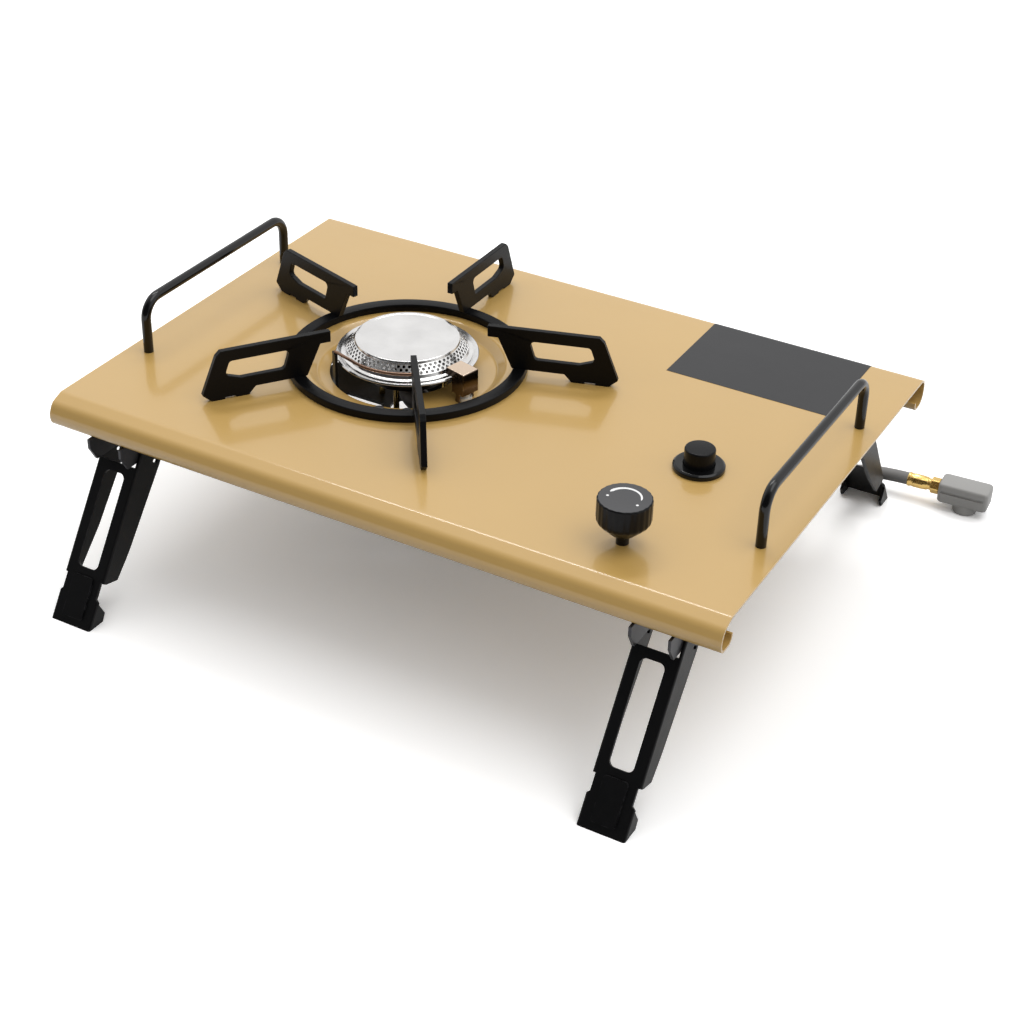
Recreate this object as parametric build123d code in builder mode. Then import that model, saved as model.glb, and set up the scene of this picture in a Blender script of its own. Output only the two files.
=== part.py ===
"""A one-burner camp stove in a sheet-metal top, on four folding legs.

Millimetres, +Z up. The origin is on the floor, under the middle of the top. The front is -Y.
"""

import os
from math import acos, atan2, cos, degrees, hypot, pi, radians, sin, tan

from build123d import *

os.makedirs("parts", exist_ok=True)

# General clearances
cut_overrun = 2.0
fit_clearance = 0.05
running_clearance = 0.08

# Sheet top
top_length = 360.0
top_depth = 250.0
top_height = 100.0
top_sheet = 1.2
edge_drop = 15.0
edge_crown_radius = 8.0
edge_foot_radius = 6.0
lip_width = 12.5
lip_rise = 5.2
lip_radius = 4.0
under_top = top_height - top_sheet

# Pressed well round the burner
burner_x = -51.5
burner_y = 0.0
well_radius = 50.0
well_floor_radius = 45.5
well_depth = 4.5
well_hole_radius = 39.5
well_tongue_radius = 25.5
well_tongue_start = -49.0
well_tongue_end = 110.0
well_tongue_corner = 3.0
well_seam = 2.0
well_floor = top_height - well_depth
under_well = well_floor - top_sheet

# Weld studs and their nuts
stud_radius = 2.0
stud_length = 9.0
stud_nut_height = 3.2
stud_nut_radius = 4.0
stud_hole_radius = 2.2

# Wire handles
handle_wire = 5.0
handle_inset = 11.0
handle_span = 120.0
handle_rise = 27.7
handle_bend = 10.0
handle_screw_radius = 1.5
handle_screw_depth = 9.0
handle_head_radius = 3.5
handle_head_height = 2.2

# Legs: pressed channels, measured along the leg from the floor, back from its pivot, and inwards
leg_inset = 32.7
leg_splay = 33.65
leg_width = 24.0
leg_sheet = 1.5
leg_web_setback = 14.0
leg_slot_width = 12.0
leg_slot_start = 29.6
leg_slot_setback = 18.7
leg_slot_radius = 3.0
leg_neck_width = 20.6
leg_neck_start = 16.5
leg_neck_end = 24.7
leg_bend_radius = 1.2
pivot_end_radius = 9.0
flange_heel = 2.7
flange_low = 27.5
flange_low_depth = 10.8
flange_mid = 50.0
flange_mid_depth = 15.0
flange_high_setback = 10.0
foot_flange_top = 10.5
foot_flange_top_depth = 8.3
foot_flange_low = 4.0
foot_flange_low_depth = 9.0
foot_panel_width = 12.0
foot_panel_start = 4.0
foot_panel_end = 25.5
foot_panel_height = 0.8
foot_panel_radius = 1.5
flange_notch_setback = 8.5
flange_notch_depth = 13.0
flange_notch_length = 4.0
flange_notch_width = 1.8

# Hinges: a folded bracket under the top for each leg, and a pin
hinge_sheet = 1.5
hinge_side_gap = 0.3
hinge_pivot_y = 100.504
hinge_pivot_drop = 23.408
hinge_front = 111.0
hinge_back = 86.0
hinge_nose_front = 124.8
hinge_nose_top_gap = 0.5
hinge_nose_height = 5.0
hinge_nose_bottom_front = 120.3
hinge_drop = 28.4
hinge_back_chamfer = 6.0
hinge_stud_front = 105.5
hinge_stud_back = 92.0
pin_radius = 2.0
pin_head_radius = 3.5
pin_head_height = 1.2
pin_side_gap = 0.2

# Lift-off pan support
ring_inner_radius = 54.6
ring_outer_radius = 61.2
ring_height = 4.2
arm_count = 5
arm_first_angle = 18.0
arm_thickness = 3.0
arm_height = 26.5
arm_tip_radius = 41.3
arm_nose_height = 6.0
arm_nose_radius = 46.8
arm_neck_radius = 54.0
arm_heel_radius = 80.7
arm_foot_inner = 84.5
arm_notch_inner = 91.0
arm_notch_outer = 96.6
arm_notch_height = 0.9
arm_foot_outer = 103.5
arm_toe_radius = 108.0
arm_toe_height = 4.0
arm_top_outer = 100.2
arm_shoulder = 2.5
arm_window_inner_top = 62.5
arm_window_inner_low = 65.6
arm_window_outer_top = 93.4
arm_window_outer_mid = 96.0
arm_window_outer_low = 88.0
arm_window_top = 20.3
arm_window_mid = 13.0
arm_window_low = 10.3
arm_window_radius = 2.2

# Burner bowl and cap, heights from the face of the top
cup_sheet = 1.0
cup_bottom = -5.0
cup_bottom_radius = 22.0
cup_shoulder_radius = 30.0
cup_flange_radius = 36.3
cup_flange_height = 6.6
cup_lip_drop = 1.6
cup_bend_radius = 1.4
cap_sheet = 0.8
cap_foot_radius = 33.4
cap_skirt = 1.0
cap_top_radius = 27.0
cap_shoulder_height = 14.3
cap_crown_height = 15.4
cap_edge_radius = 1.1
port_radius = 0.85
port_sides = 6
port_count = 46
port_row_shares = (0.2, 0.5, 0.8)

# Bracket under the burner, its rivets and the brass posts
bracket_angle = -68.0
bracket_width = 24.0
bracket_sheet = 1.5
bracket_floor = -28.0
bracket_leg_radius = 38.0
bracket_foot_radius = 45.0
bracket_bend = 2.0
bracket_window_radius = 9.0
bracket_plate_radius = 60.0
bracket_slot_x = 23.6
bracket_slot_y = 6.9
bracket_slot_length = 22.5
bracket_slot_width = 6.5
bracket_slot_corner = 1.0
bracket_notch_inner = 38.0
bracket_notch_width = 9.0
wire_post_angle = -131.0
wire_post_width = 5.0
wire_post_radius = 38.6
rivet_radius = 1.5
rivet_head_radius = 2.4
rivet_head_height = 1.0
rivet_circle = 42.2
rivet_offset = 7.0
standoff_radius = 1.5
standoff_circle = 19.5
standoff_count = 3
standoff_first_angle = -75.0

# Guard wire round the left front of the burner
guard_wire_radius = 0.8
guard_height = 12.0
guard_circle = 34.6
guard_end_angle = -50.0

# Valve, knob and gas pipe
valve_inset = 64.5
valve_y = -89.5
valve_radius = 12.0
valve_drop = 31.5
valve_flange_length = 42.0
valve_flange_width = 22.0
valve_flange_height = 3.0
valve_stud_offset = 16.0
valve_edge_radius = 2.0
outlet_drop = 17.0
outlet_radius = 5.0
outlet_length = 19.0
stem_radius = 3.0
stem_foot_drop = 22.0
stem_hole_radius = 3.6
stem_flat = 2.0
stem_flat_length = 12.0
stem_in_knob = 14.0
knob_radius = 12.5
knob_top = 23.5
knob_grip_height = 9.5
knob_hub_radius = 4.7
knob_hub_bottom = 3.2
knob_shoulder_radius = 3.0
knob_edge_radius = 1.0
flute_count = 24
flute_radius = 1.4
flute_depth = 0.3
pipe_radius = 2.5
pipe_bore_radius = 1.5
tube_radius = 6.5
tube_bore_radius = 5.6
tube_bend = 9.0
tube_length = 92.0
air_slot_length = 10.0
air_slot_height = 5.0
air_slot_setback = 20.0
jet_plug_length = 8.0
jet_hex_radius = 8.0
jet_hex_length = 9.0
jet_collar_radius = 4.2
jet_collar_length = 6.0
jet_orifice_radius = 0.7
pipe_insert = 4.0

# Igniter
igniter_inset = 62.0
igniter_y = -15.0
bezel_radius = 12.5
bezel_height = 2.8
bezel_edge_radius = 1.0
bezel_neck_radius = 10.0
bezel_neck_length = 14.0
bezel_hole_clearance = 0.15
button_radius = 7.4
button_top = 11.0
button_length = 18.0
button_edge_radius = 1.2
igniter_nut_radius = 14.0
igniter_nut_height = 3.5
piezo_radius = 9.0
piezo_length = 28.0
terminal_radius = 2.0
terminal_length = 3.5
terminal_drop = 9.0
spring_radius = 5.5
spring_wire = 0.9

# Spark electrode and its hood, turned round the burner from the mixing tube
electrode_turn = 13.488
electrode_circle = 41.3
ceramic_radius = 2.5
ceramic_top = 3.0
ceramic_bottom = -22.0
collar_radius = 3.7
collar_height = 1.8
electrode_slot_clearance = 0.25
spark_pin_radius = 0.7
spark_pin_rise = 6.2
spark_pin_reach = 5.0
spark_pin_bend = 2.0
hood_inner = 33.0
hood_outer = 45.2
hood_width = 10.4
hood_top = 12.2
hood_bottom = 0.0
hood_throat = 37.2
hood_throat_height = 8.4
hood_sheet = 0.7
hood_foot_inner = 39.8
hood_foot_outer = 42.4
hood_edge_radius = 0.6

# Lead from the piezo unit to the electrode: shares of the way, and drops below the top's face
lead_radius = 1.2
lead_clear_run = 15.3
lead_way_shares = (0.15, 0.39, 0.67, 0.807, 0.911, 0.966)
lead_drops = (23.0, 25.5, 34.2, 40.8, 44.5, 42.6)

# Hose, in from the top's right end: from the valve's barb with drops below the top's face, then
# with heights above the floor
hose_radius = 3.5
hose_bore_radius = 2.0
hose_arc_share = 0.45
hose_hang = [
    (71.2, -64.4, 28.0),
    (78.4, -37.5, 29.0),
    (85.0, 4.0, 49.0),
]
hose_lie = [
    (90.0, 45.0, 20.0),
    (94.0, 86.0, 3.7),
    (96.0, 127.0, 3.7),
    (78.5, 153.0, 3.7),
    (50.1, 167.0, 5.6),
    (28.0, 168.4, 10.8),
    (13.0, 169.4, 10.8),
]
barb_insert = 9.0
inlet_hex_radius = 6.5
inlet_hex_length = 7.0
clip_offset = 2.5
clip_width = 6.5
clip_wall = 1.0
clip_ear_length = 4.0
clip_ear_gap = 2.0
ferrule_radius = 3.9
ferrule_groove_radius = 3.5
ferrule_crimp_length = 11.0
ferrule_groove_length = 2.0
ferrule_hex_radius = 4.5
ferrule_hex_length = 5.0
spigot_length = 5.0
connector_length = 27.5
connector_width = 14.0
connector_height = 11.6
connector_edge_radius = 2.2
connector_slot_height = 1.6
connector_slot_depth = 0.8
connector_slot_rise = 1.0
connector_slot_end = 4.0
nub_radius = 6.6
nub_offset = 1.0
nub_bore_radius = 4.5
nub_bore_depth = 9.0


def save(piece, name):
    """Label a finished piece and write it under its own name."""
    piece.label = name
    export_step(piece, f"parts/{name}.step")


def polar(radius, angle, height=0.0):
    """A point round the burner's axis, with its height above the face of the top."""
    turn = radians(angle)
    return Vector(burner_x + radius * cos(turn), burner_y + radius * sin(turn), top_height + height)


def radial_plane(angle):
    """Upright plane through the burner's axis: x goes outwards, y goes up from the top's face."""
    turn = radians(angle)
    return Plane(
        origin=(burner_x, burner_y, top_height),
        x_dir=(cos(turn), sin(turn), 0),
        z_dir=(sin(turn), -cos(turn), 0),
    )


def tube_arcs(points, share):
    """The largest tangent arcs that the runs between the points leave room for."""
    vectors = [Vector(point) for point in points]
    radii = []
    for before, corner, after in zip(vectors, vectors[1:], vectors[2:]):
        turn = (corner - before).get_angle(after - corner)
        shorter = min((corner - before).length, (after - corner).length)
        radii.append(share * shorter / tan(radians(turn) / 2))
    return radii


# Places that several pieces share
half_depth = top_depth / 2
edge_bottom = top_height - edge_drop
lip_y = half_depth - lip_width
handle_x = top_length / 2 - handle_inset
leg_x = top_length / 2 - leg_inset
right_end = top_length / 2
valve_x = right_end - valve_inset
igniter_x = right_end - igniter_inset
hose_route = [(right_end - inset, y, top_height - drop) for inset, y, drop in hose_hang]
hose_route += [(right_end - inset, y, height) for inset, y, height in hose_lie]
valve_bottom = top_height - valve_drop
outlet_height = top_height - outlet_drop
stem_foot = top_height - stem_foot_drop
pipe_heading = degrees(atan2(valve_y - burner_y, valve_x - burner_x))
pipe_run = hypot(valve_x - burner_x, valve_y - burner_y)
electrode_angle = pipe_heading + electrode_turn
electrode_place = polar(electrode_circle, electrode_angle)
stud_places = [
    (side * leg_x, end * stud_y)
    for side in (-1, 1)
    for end in (-1, 1)
    for stud_y in (hinge_stud_front, hinge_stud_back)
]
handle_places = [
    (side * handle_x, end * handle_span / 2) for side in (-1, 1) for end in (-1, 1)
]
valve_stud_places = [(valve_x + side * valve_stud_offset, valve_y) for side in (-1, 1)]
rivet_places = [
    (end * rivet_circle, side * rivet_offset) for end in (-1, 1) for side in (-1, 1)
]
bracket_frame = Plane(
    origin=(burner_x, burner_y, 0),
    x_dir=(cos(radians(bracket_angle)), sin(radians(bracket_angle)), 0),
    z_dir=(0, 0, 1),
)

# Sheet top: rolled front and back edges, pressed well, holes and weld studs
with BuildPart() as top_plate:
    with BuildSketch(Plane.YZ.offset(-top_length / 2)):
        with BuildLine():
            FilletPolyline(
                (-lip_y, edge_bottom + lip_rise),
                (-lip_y, edge_bottom),
                (-half_depth, edge_bottom),
                (-half_depth, top_height),
                (half_depth, top_height),
                (half_depth, edge_bottom),
                (lip_y, edge_bottom),
                (lip_y, edge_bottom + lip_rise),
                radius=[
                    lip_radius,
                    edge_foot_radius,
                    edge_crown_radius,
                    edge_crown_radius,
                    edge_foot_radius,
                    lip_radius,
                ],
            )
            offset(amount=top_sheet, side=Side.RIGHT)
        make_face()
    extrude(amount=top_length)
    with BuildSketch(Plane.XY.offset(under_top)):
        with Locations((burner_x, burner_y)):
            Circle(well_radius + well_seam)
    extrude(amount=top_sheet, mode=Mode.SUBTRACT)
    with BuildSketch(radial_plane(0)):
        with BuildLine():
            Polyline(
                (well_radius + well_seam, 0),
                (well_radius, 0),
                (well_floor_radius, -well_depth),
                (well_hole_radius, -well_depth),
                (well_hole_radius, -well_depth - top_sheet),
                (well_floor_radius - top_sheet / 2, -well_depth - top_sheet),
                (well_radius - top_sheet / 2, -top_sheet),
                (well_radius + well_seam, -top_sheet),
                close=True,
            )
        make_face()
    revolve(axis=Axis((burner_x, burner_y, 0), (0, 0, 1)))
    with BuildSketch(Plane((burner_x, burner_y, under_well))) as tongue:
        with BuildLine():
            tongue_turn = well_tongue_end - well_tongue_start
            tongue_rim = CenterArc(
                (0, 0), well_hole_radius + well_seam, well_tongue_start, tongue_turn
            )
            tongue_edge = CenterArc((0, 0), well_tongue_radius, well_tongue_start, tongue_turn)
            Line(tongue_rim @ 0, tongue_edge @ 0)
            Line(tongue_rim @ 1, tongue_edge @ 1)
        make_face()
        fillet(tongue.vertices().sort_by(SortBy.DISTANCE)[:2], well_tongue_corner)
    extrude(amount=top_sheet)
    with BuildSketch(Plane.XY.offset(under_well - cut_overrun)):
        with Locations(*handle_places):
            Circle(handle_screw_radius + fit_clearance)
        with Locations((valve_x, valve_y)):
            Circle(stem_hole_radius)
        with Locations((igniter_x, igniter_y)):
            Circle(bezel_neck_radius + bezel_hole_clearance)
        with Locations(*[bracket_frame.from_local_coords(Vector(*place)) for place in rivet_places]):
            Circle(rivet_radius + fit_clearance)
        with Locations(electrode_place):
            Circle(ceramic_radius + electrode_slot_clearance)
        with Locations(Location(polar(electrode_circle / 2, electrode_angle), electrode_angle)):
            Rectangle(electrode_circle, 2 * (ceramic_radius + electrode_slot_clearance))
    extrude(amount=well_depth + top_sheet + 2 * cut_overrun, mode=Mode.SUBTRACT)
    with BuildSketch(Plane.XY.offset(under_top - stud_length)):
        with Locations(*stud_places, *valve_stud_places):
            Circle(stud_radius)
    extrude(amount=stud_length)
save(top_plate.part, "top_plate")

# Handles: a bent wire at each short side, tapped at its ends for a screw from below
for handle_name, side in (("left_handle", -1), ("right_handle", 1)):
    with BuildPart() as handle:
        with BuildLine() as handle_line:
            FilletPolyline(
                (side * handle_x, -handle_span / 2, top_height),
                (side * handle_x, -handle_span / 2, top_height + handle_rise),
                (side * handle_x, handle_span / 2, top_height + handle_rise),
                (side * handle_x, handle_span / 2, top_height),
                radius=handle_bend,
            )
        with BuildSketch(Plane(handle_line.line @ 0, z_dir=handle_line.line % 0)):
            Circle(handle_wire / 2)
        sweep()
        with BuildSketch(Plane.XY.offset(top_height)):
            with Locations((side * handle_x, -handle_span / 2), (side * handle_x, handle_span / 2)):
                Circle(handle_screw_radius + fit_clearance)
        extrude(amount=handle_screw_depth, mode=Mode.SUBTRACT)
    save(handle.part, handle_name)

with BuildPart() as handle_screws:
    with BuildSketch(Plane.XY.offset(under_top - handle_head_height)):
        with Locations(*handle_places):
            Circle(handle_head_radius)
    extrude(amount=handle_head_height)
    with BuildSketch(Plane.XY.offset(under_top)):
        with Locations(*handle_places):
            Circle(handle_screw_radius)
    extrude(amount=handle_screw_depth)
save(handle_screws.part, "handle_screws")

# Legs: one front leg in the middle, then a copy at each corner
splay = radians(leg_splay)
leg_along = Vector(0, sin(splay), cos(splay))
leg_inward = Vector(0, cos(splay), -sin(splay))
pivot = Vector(0, -hinge_pivot_y, top_height - hinge_pivot_drop)
pivot_along = (pivot.Z + pivot_end_radius * sin(splay)) / cos(splay)
leg_foot = pivot - leg_along * pivot_along - leg_inward * pivot_end_radius
leg_web_length = pivot_along - leg_web_setback
leg_slot_end = pivot_along - leg_slot_setback
flange_high = pivot_along - flange_high_setback
flange_notch_along = pivot_along - flange_notch_setback
web_plane = Plane(origin=leg_foot, x_dir=(1, 0, 0), z_dir=-leg_inward)
flange_plane = Plane(origin=leg_foot, x_dir=leg_inward, z_dir=(1, 0, 0))
flange_depth = 2 * pivot_end_radius
half_leg = leg_width / 2

with BuildPart() as leg_shape:
    with BuildSketch(web_plane):
        with BuildLine():
            Polyline(
                (-half_leg, 0),
                (half_leg, 0),
                (half_leg, leg_neck_start - leg_sheet),
                (leg_neck_width / 2, leg_neck_start),
                (leg_neck_width / 2, leg_neck_end),
                (half_leg, leg_neck_end),
                (half_leg, leg_web_length),
                (-half_leg, leg_web_length),
                (-half_leg, leg_neck_end),
                (-leg_neck_width / 2, leg_neck_end),
                (-leg_neck_width / 2, leg_neck_start),
                (-half_leg, leg_neck_start - leg_sheet),
                close=True,
            )
        make_face()
        with Locations((0, (leg_slot_start + leg_slot_end) / 2)):
            RectangleRounded(
                leg_slot_width, leg_slot_end - leg_slot_start, leg_slot_radius, mode=Mode.SUBTRACT
            )
    extrude(amount=-leg_sheet)
    for flange_x, inwards in ((-half_leg, 1), (half_leg, -1)):
        with BuildSketch(flange_plane.offset(flange_x)):
            with BuildLine():
                Polyline(
                    (0, pivot_along),
                    (0, leg_neck_end),
                    (flange_heel, leg_neck_end),
                    (flange_low_depth, flange_low),
                    (flange_mid_depth, flange_mid),
                    (flange_depth, flange_high),
                    (flange_depth, pivot_along),
                )
                ThreePointArc(
                    (flange_depth, pivot_along),
                    (pivot_end_radius, pivot_along + pivot_end_radius),
                    (0, pivot_along),
                )
            make_face()
            with Locations((pivot_end_radius, pivot_along)):
                Circle(pin_radius + running_clearance, mode=Mode.SUBTRACT)
            with Locations((flange_notch_depth, flange_notch_along)):
                SlotOverall(flange_notch_length, flange_notch_width, mode=Mode.SUBTRACT)
            with BuildLine():
                Polyline(
                    (0, 0),
                    (0, leg_neck_start - leg_sheet),
                    (foot_flange_top_depth, foot_flange_top),
                    (foot_flange_low_depth, foot_flange_low),
                    (foot_flange_low_depth, 0),
                    close=True,
                )
            make_face()
        extrude(amount=inwards * leg_sheet)
    upright_edges = leg_shape.edges().filter_by(Axis((0, 0, 0), leg_along))
    bends = upright_edges.group_by(Axis(leg_foot, leg_inward))[0]
    fillet(bends.group_by(Axis.X)[0] + bends.group_by(Axis.X)[-1], leg_bend_radius)
    with BuildSketch(web_plane):
        with Locations((0, (foot_panel_start + foot_panel_end) / 2)):
            RectangleRounded(foot_panel_width, foot_panel_end - foot_panel_start, foot_panel_radius)
    extrude(amount=foot_panel_height)
    split(bisect_by=Plane.XY, keep=Keep.TOP)

# Hinge brackets: two ears and a base, inside the leg's flanges
ear_outside = half_leg - leg_sheet - hinge_side_gap
ear_bottom = top_height - hinge_drop
nose_top = edge_bottom - hinge_nose_top_gap
with BuildPart() as hinge_shape:
    for ear_x, inwards in ((-ear_outside, 1), (ear_outside, -1)):
        with BuildSketch(Plane.YZ.offset(ear_x)):
            with BuildLine():
                Polyline(
                    (-hinge_front, under_top),
                    (-hinge_front, nose_top),
                    (-hinge_nose_front, nose_top),
                    (-hinge_nose_front, nose_top - hinge_nose_height),
                    (-hinge_nose_bottom_front, ear_bottom),
                    (-hinge_back - hinge_back_chamfer, ear_bottom),
                    (-hinge_back, ear_bottom + hinge_back_chamfer),
                    (-hinge_back, under_top),
                    close=True,
                )
            make_face()
            with Locations((pivot.Y, pivot.Z)):
                Circle(pin_radius + fit_clearance, mode=Mode.SUBTRACT)
        extrude(amount=inwards * hinge_sheet)
    with BuildSketch(Plane.XY.offset(under_top - hinge_sheet)):
        with Locations((0, -(hinge_front + hinge_back) / 2)):
            Rectangle(2 * ear_outside, hinge_front - hinge_back)
        with Locations((0, -hinge_stud_front), (0, -hinge_stud_back)):
            Circle(stud_hole_radius, mode=Mode.SUBTRACT)
    extrude(amount=hinge_sheet)

for row_name, mirrored in (("front", False), ("rear", True)):
    for side_name, side in (("left", -1), ("right", 1)):
        for kind, shape in (("leg", leg_shape), ("hinge", hinge_shape)):
            with BuildPart() as corner_piece:
                add(shape.part)
                if mirrored:
                    mirror(about=Plane.XZ, mode=Mode.REPLACE)
            corner = Location((side * leg_x, 0, 0))
            save(corner_piece.part.moved(corner), f"{row_name}_{side_name}_{kind}")

# Hinge pins with a head at each side, and the nuts on the hinge studs
pin_shoulder = half_leg + pin_side_gap
with BuildPart() as hinge_pins:
    for side in (-1, 1):
        for end in (-1, 1):
            with BuildSketch(Plane.YZ.offset(side * leg_x - pin_shoulder)):
                with Locations((-end * pivot.Y, pivot.Z)):
                    Circle(pin_radius)
            extrude(amount=2 * pin_shoulder)
            for head in (-pin_shoulder - pin_head_height, pin_shoulder):
                with BuildSketch(Plane.YZ.offset(side * leg_x + head)):
                    with Locations((-end * pivot.Y, pivot.Z)):
                        Circle(pin_head_radius)
                extrude(amount=pin_head_height)
save(hinge_pins.part, "hinge_pins")


def stud_nuts(places, seat):
    """Hexagon nuts on weld studs, against the face at the seat's height."""
    with BuildPart() as nuts:
        with BuildSketch(Plane.XY.offset(seat - stud_nut_height)):
            with Locations(*places):
                RegularPolygon(stud_nut_radius, 6)
                Circle(stud_radius + fit_clearance, mode=Mode.SUBTRACT)
        extrude(amount=stud_nut_height)
    return nuts.part


save(stud_nuts(stud_places, under_top - hinge_sheet), "hinge_nuts")
save(stud_nuts(valve_stud_places, under_top - valve_flange_height), "valve_nuts")

# Pan support: a flat ring with five plate arms on it
with BuildPart() as trivet_ring:
    with BuildSketch(Plane.XY.offset(top_height)):
        with Locations((burner_x, burner_y)):
            Circle(ring_outer_radius)
            Circle(ring_inner_radius, mode=Mode.SUBTRACT)
    extrude(amount=ring_height)
save(trivet_ring.part, "trivet_ring")

for number in range(arm_count):
    arm_plane = radial_plane(arm_first_angle + number * 360 / arm_count)
    with BuildPart() as trivet_arm:
        with BuildSketch(arm_plane):
            with BuildLine():
                Polyline(
                    (arm_tip_radius, arm_height),
                    (arm_tip_radius, arm_height - arm_nose_height),
                    (arm_nose_radius, arm_height - arm_nose_height),
                    (arm_neck_radius, ring_height),
                    (arm_heel_radius, ring_height),
                    (arm_foot_inner, 0),
                    (arm_notch_inner, 0),
                    (arm_notch_inner, arm_notch_height),
                    (arm_notch_outer, arm_notch_height),
                    (arm_notch_outer, 0),
                    (arm_foot_outer, 0),
                    (arm_toe_radius, arm_toe_height),
                    (arm_top_outer, arm_height - arm_shoulder),
                    (arm_top_outer - arm_shoulder, arm_height),
                    close=True,
                )
            make_face()
            with BuildLine():
                FilletPolyline(
                    (arm_window_inner_top, arm_window_top),
                    (arm_window_outer_top, arm_window_top),
                    (arm_window_outer_mid, arm_window_mid),
                    (arm_window_outer_low, arm_window_low),
                    (arm_window_inner_low, arm_window_low),
                    close=True,
                    radius=arm_window_radius,
                )
            make_face(mode=Mode.SUBTRACT)
        extrude(amount=arm_thickness / 2, both=True)
    save(trivet_arm.part, f"trivet_arm_{number + 1}")

# Burner bowl: spun sheet with a flange and a turned-down lip
burner_axis = Axis((burner_x, burner_y, 0), (0, 0, 1))
with BuildPart() as burner_cup:
    with BuildSketch(radial_plane(0)):
        with BuildLine():
            FilletPolyline(
                (tube_radius + fit_clearance, cup_bottom),
                (cup_bottom_radius, cup_bottom),
                (cup_shoulder_radius, cup_flange_height - cup_sheet),
                (cup_flange_radius - cup_sheet, cup_flange_height - cup_sheet),
                (cup_flange_radius - cup_sheet, cup_flange_height - cup_sheet - cup_lip_drop),
                radius=[cup_bend_radius, cup_bend_radius, cup_sheet / 2],
            )
            offset(amount=cup_sheet, side=Side.LEFT)
        make_face()
    revolve(axis=burner_axis)
save(burner_cup.part, "burner_cup")

# Burner cap: a thin cone with three rows of gas ports, closed by a low crown
cone_foot = cup_flange_height + cap_skirt
cone_rise = cap_shoulder_height - cone_foot
cone_run = cap_foot_radius - cap_top_radius
with BuildPart() as port_cutters:
    for row, row_share in enumerate(port_row_shares):
        port_place = (cap_foot_radius - row_share * cone_run, 0, cone_foot + row_share * cone_rise)
        with BuildSketch(Plane(origin=port_place, z_dir=(cone_rise, 0, cone_run))) as port:
            RegularPolygon(port_radius, port_sides)
        with PolarLocations(0, port_count, start_angle=row * 180 / port_count):
            extrude(port.sketch, amount=cap_sheet + cut_overrun / 2, both=True)
with BuildPart() as burner_cap:
    with BuildSketch(radial_plane(0)):
        with BuildLine():
            FilletPolyline(
                (cap_foot_radius, cup_flange_height),
                (cap_foot_radius, cone_foot),
                (cap_top_radius, cap_shoulder_height),
                (cap_top_radius - cap_edge_radius, cap_crown_height),
                (0, cap_crown_height),
                radius=[cap_edge_radius / 2, cap_edge_radius, cap_edge_radius],
            )
            offset(amount=cap_sheet, side=Side.LEFT)
        make_face()
    revolve(axis=burner_axis)
    with Locations((burner_x, burner_y, top_height)):
        add(port_cutters.part, mode=Mode.SUBTRACT)
save(burner_cap.part, "burner_cap")

# Bracket under the burner: a strap folded to a hat, a round plate and a post for the guard wire
bracket_foot = under_well - bracket_sheet - top_height
bracket_top = bracket_floor + bracket_sheet
wire_post_top = guard_height - guard_wire_radius - fit_clearance
post_middle = wire_post_radius - bracket_sheet / 2
with BuildPart() as burner_bracket:
    with BuildSketch(radial_plane(bracket_angle)):
        with BuildLine():
            FilletPolyline(
                (-bracket_foot_radius, bracket_foot),
                (-bracket_leg_radius, bracket_foot),
                (-bracket_leg_radius, bracket_floor),
                (bracket_leg_radius, bracket_floor),
                (bracket_leg_radius, bracket_foot),
                (bracket_foot_radius, bracket_foot),
                radius=bracket_bend,
            )
            offset(amount=bracket_sheet, side=Side.LEFT)
        make_face()
    extrude(amount=bracket_width / 2, both=True)
    with BuildSketch(bracket_frame.offset(top_height + bracket_floor)):
        Circle(bracket_plate_radius)
        notch_middle = bracket_notch_inner + bracket_plate_radius / 2
        with PolarLocations(notch_middle, 1, start_angle=electrode_angle - bracket_angle):
            Rectangle(bracket_plate_radius, bracket_notch_width, mode=Mode.SUBTRACT)
    extrude(amount=bracket_sheet)
    with BuildSketch(Plane((burner_x, burner_y, top_height + bracket_floor))):
        with Locations((-bracket_slot_x, -bracket_slot_y), (bracket_slot_x, bracket_slot_y)):
            RectangleRounded(bracket_slot_length, bracket_slot_width, bracket_slot_corner)
    extrude(amount=bracket_sheet, mode=Mode.SUBTRACT)
    with BuildSketch(radial_plane(wire_post_angle)):
        with BuildLine():
            FilletPolyline(
                (0, bracket_floor),
                (wire_post_radius, bracket_floor),
                (wire_post_radius, wire_post_top),
                radius=bracket_bend,
            )
            offset(amount=bracket_sheet, side=Side.LEFT)
        make_face()
    extrude(amount=wire_post_width / 2, both=True)
    with BuildSketch(bracket_frame.offset(top_height + bracket_floor)):
        Circle(bracket_window_radius)
    extrude(amount=bracket_sheet, mode=Mode.SUBTRACT)
    with BuildSketch(bracket_frame.offset(under_well - bracket_sheet)):
        with Locations(*rivet_places):
            Circle(rivet_radius + fit_clearance)
    extrude(amount=bracket_sheet, mode=Mode.SUBTRACT)
save(burner_bracket.part, "burner_bracket")

with BuildPart() as burner_rivets:
    for place in rivet_places:
        with BuildSketch(bracket_frame.offset(under_well - bracket_sheet - rivet_head_height)):
            with Locations(place):
                Circle(rivet_head_radius)
        extrude(amount=rivet_head_height)
        with BuildSketch(bracket_frame.offset(under_well - bracket_sheet)):
            with Locations(place):
                Circle(rivet_radius)
        extrude(amount=bracket_sheet + top_sheet)
        with BuildSketch(bracket_frame.offset(well_floor)):
            with Locations(place):
                Circle(rivet_head_radius)
        extrude(amount=rivet_head_height)
save(burner_rivets.part, "burner_rivets")

with BuildPart() as burner_standoffs:
    with BuildSketch(Plane.XY.offset(top_height + bracket_top)):
        with Locations((burner_x, burner_y)):
            with PolarLocations(standoff_circle, standoff_count, start_angle=standoff_first_angle):
                Circle(standoff_radius)
    extrude(amount=cup_bottom - bracket_top)
save(burner_standoffs.part, "burner_standoffs")

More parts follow.
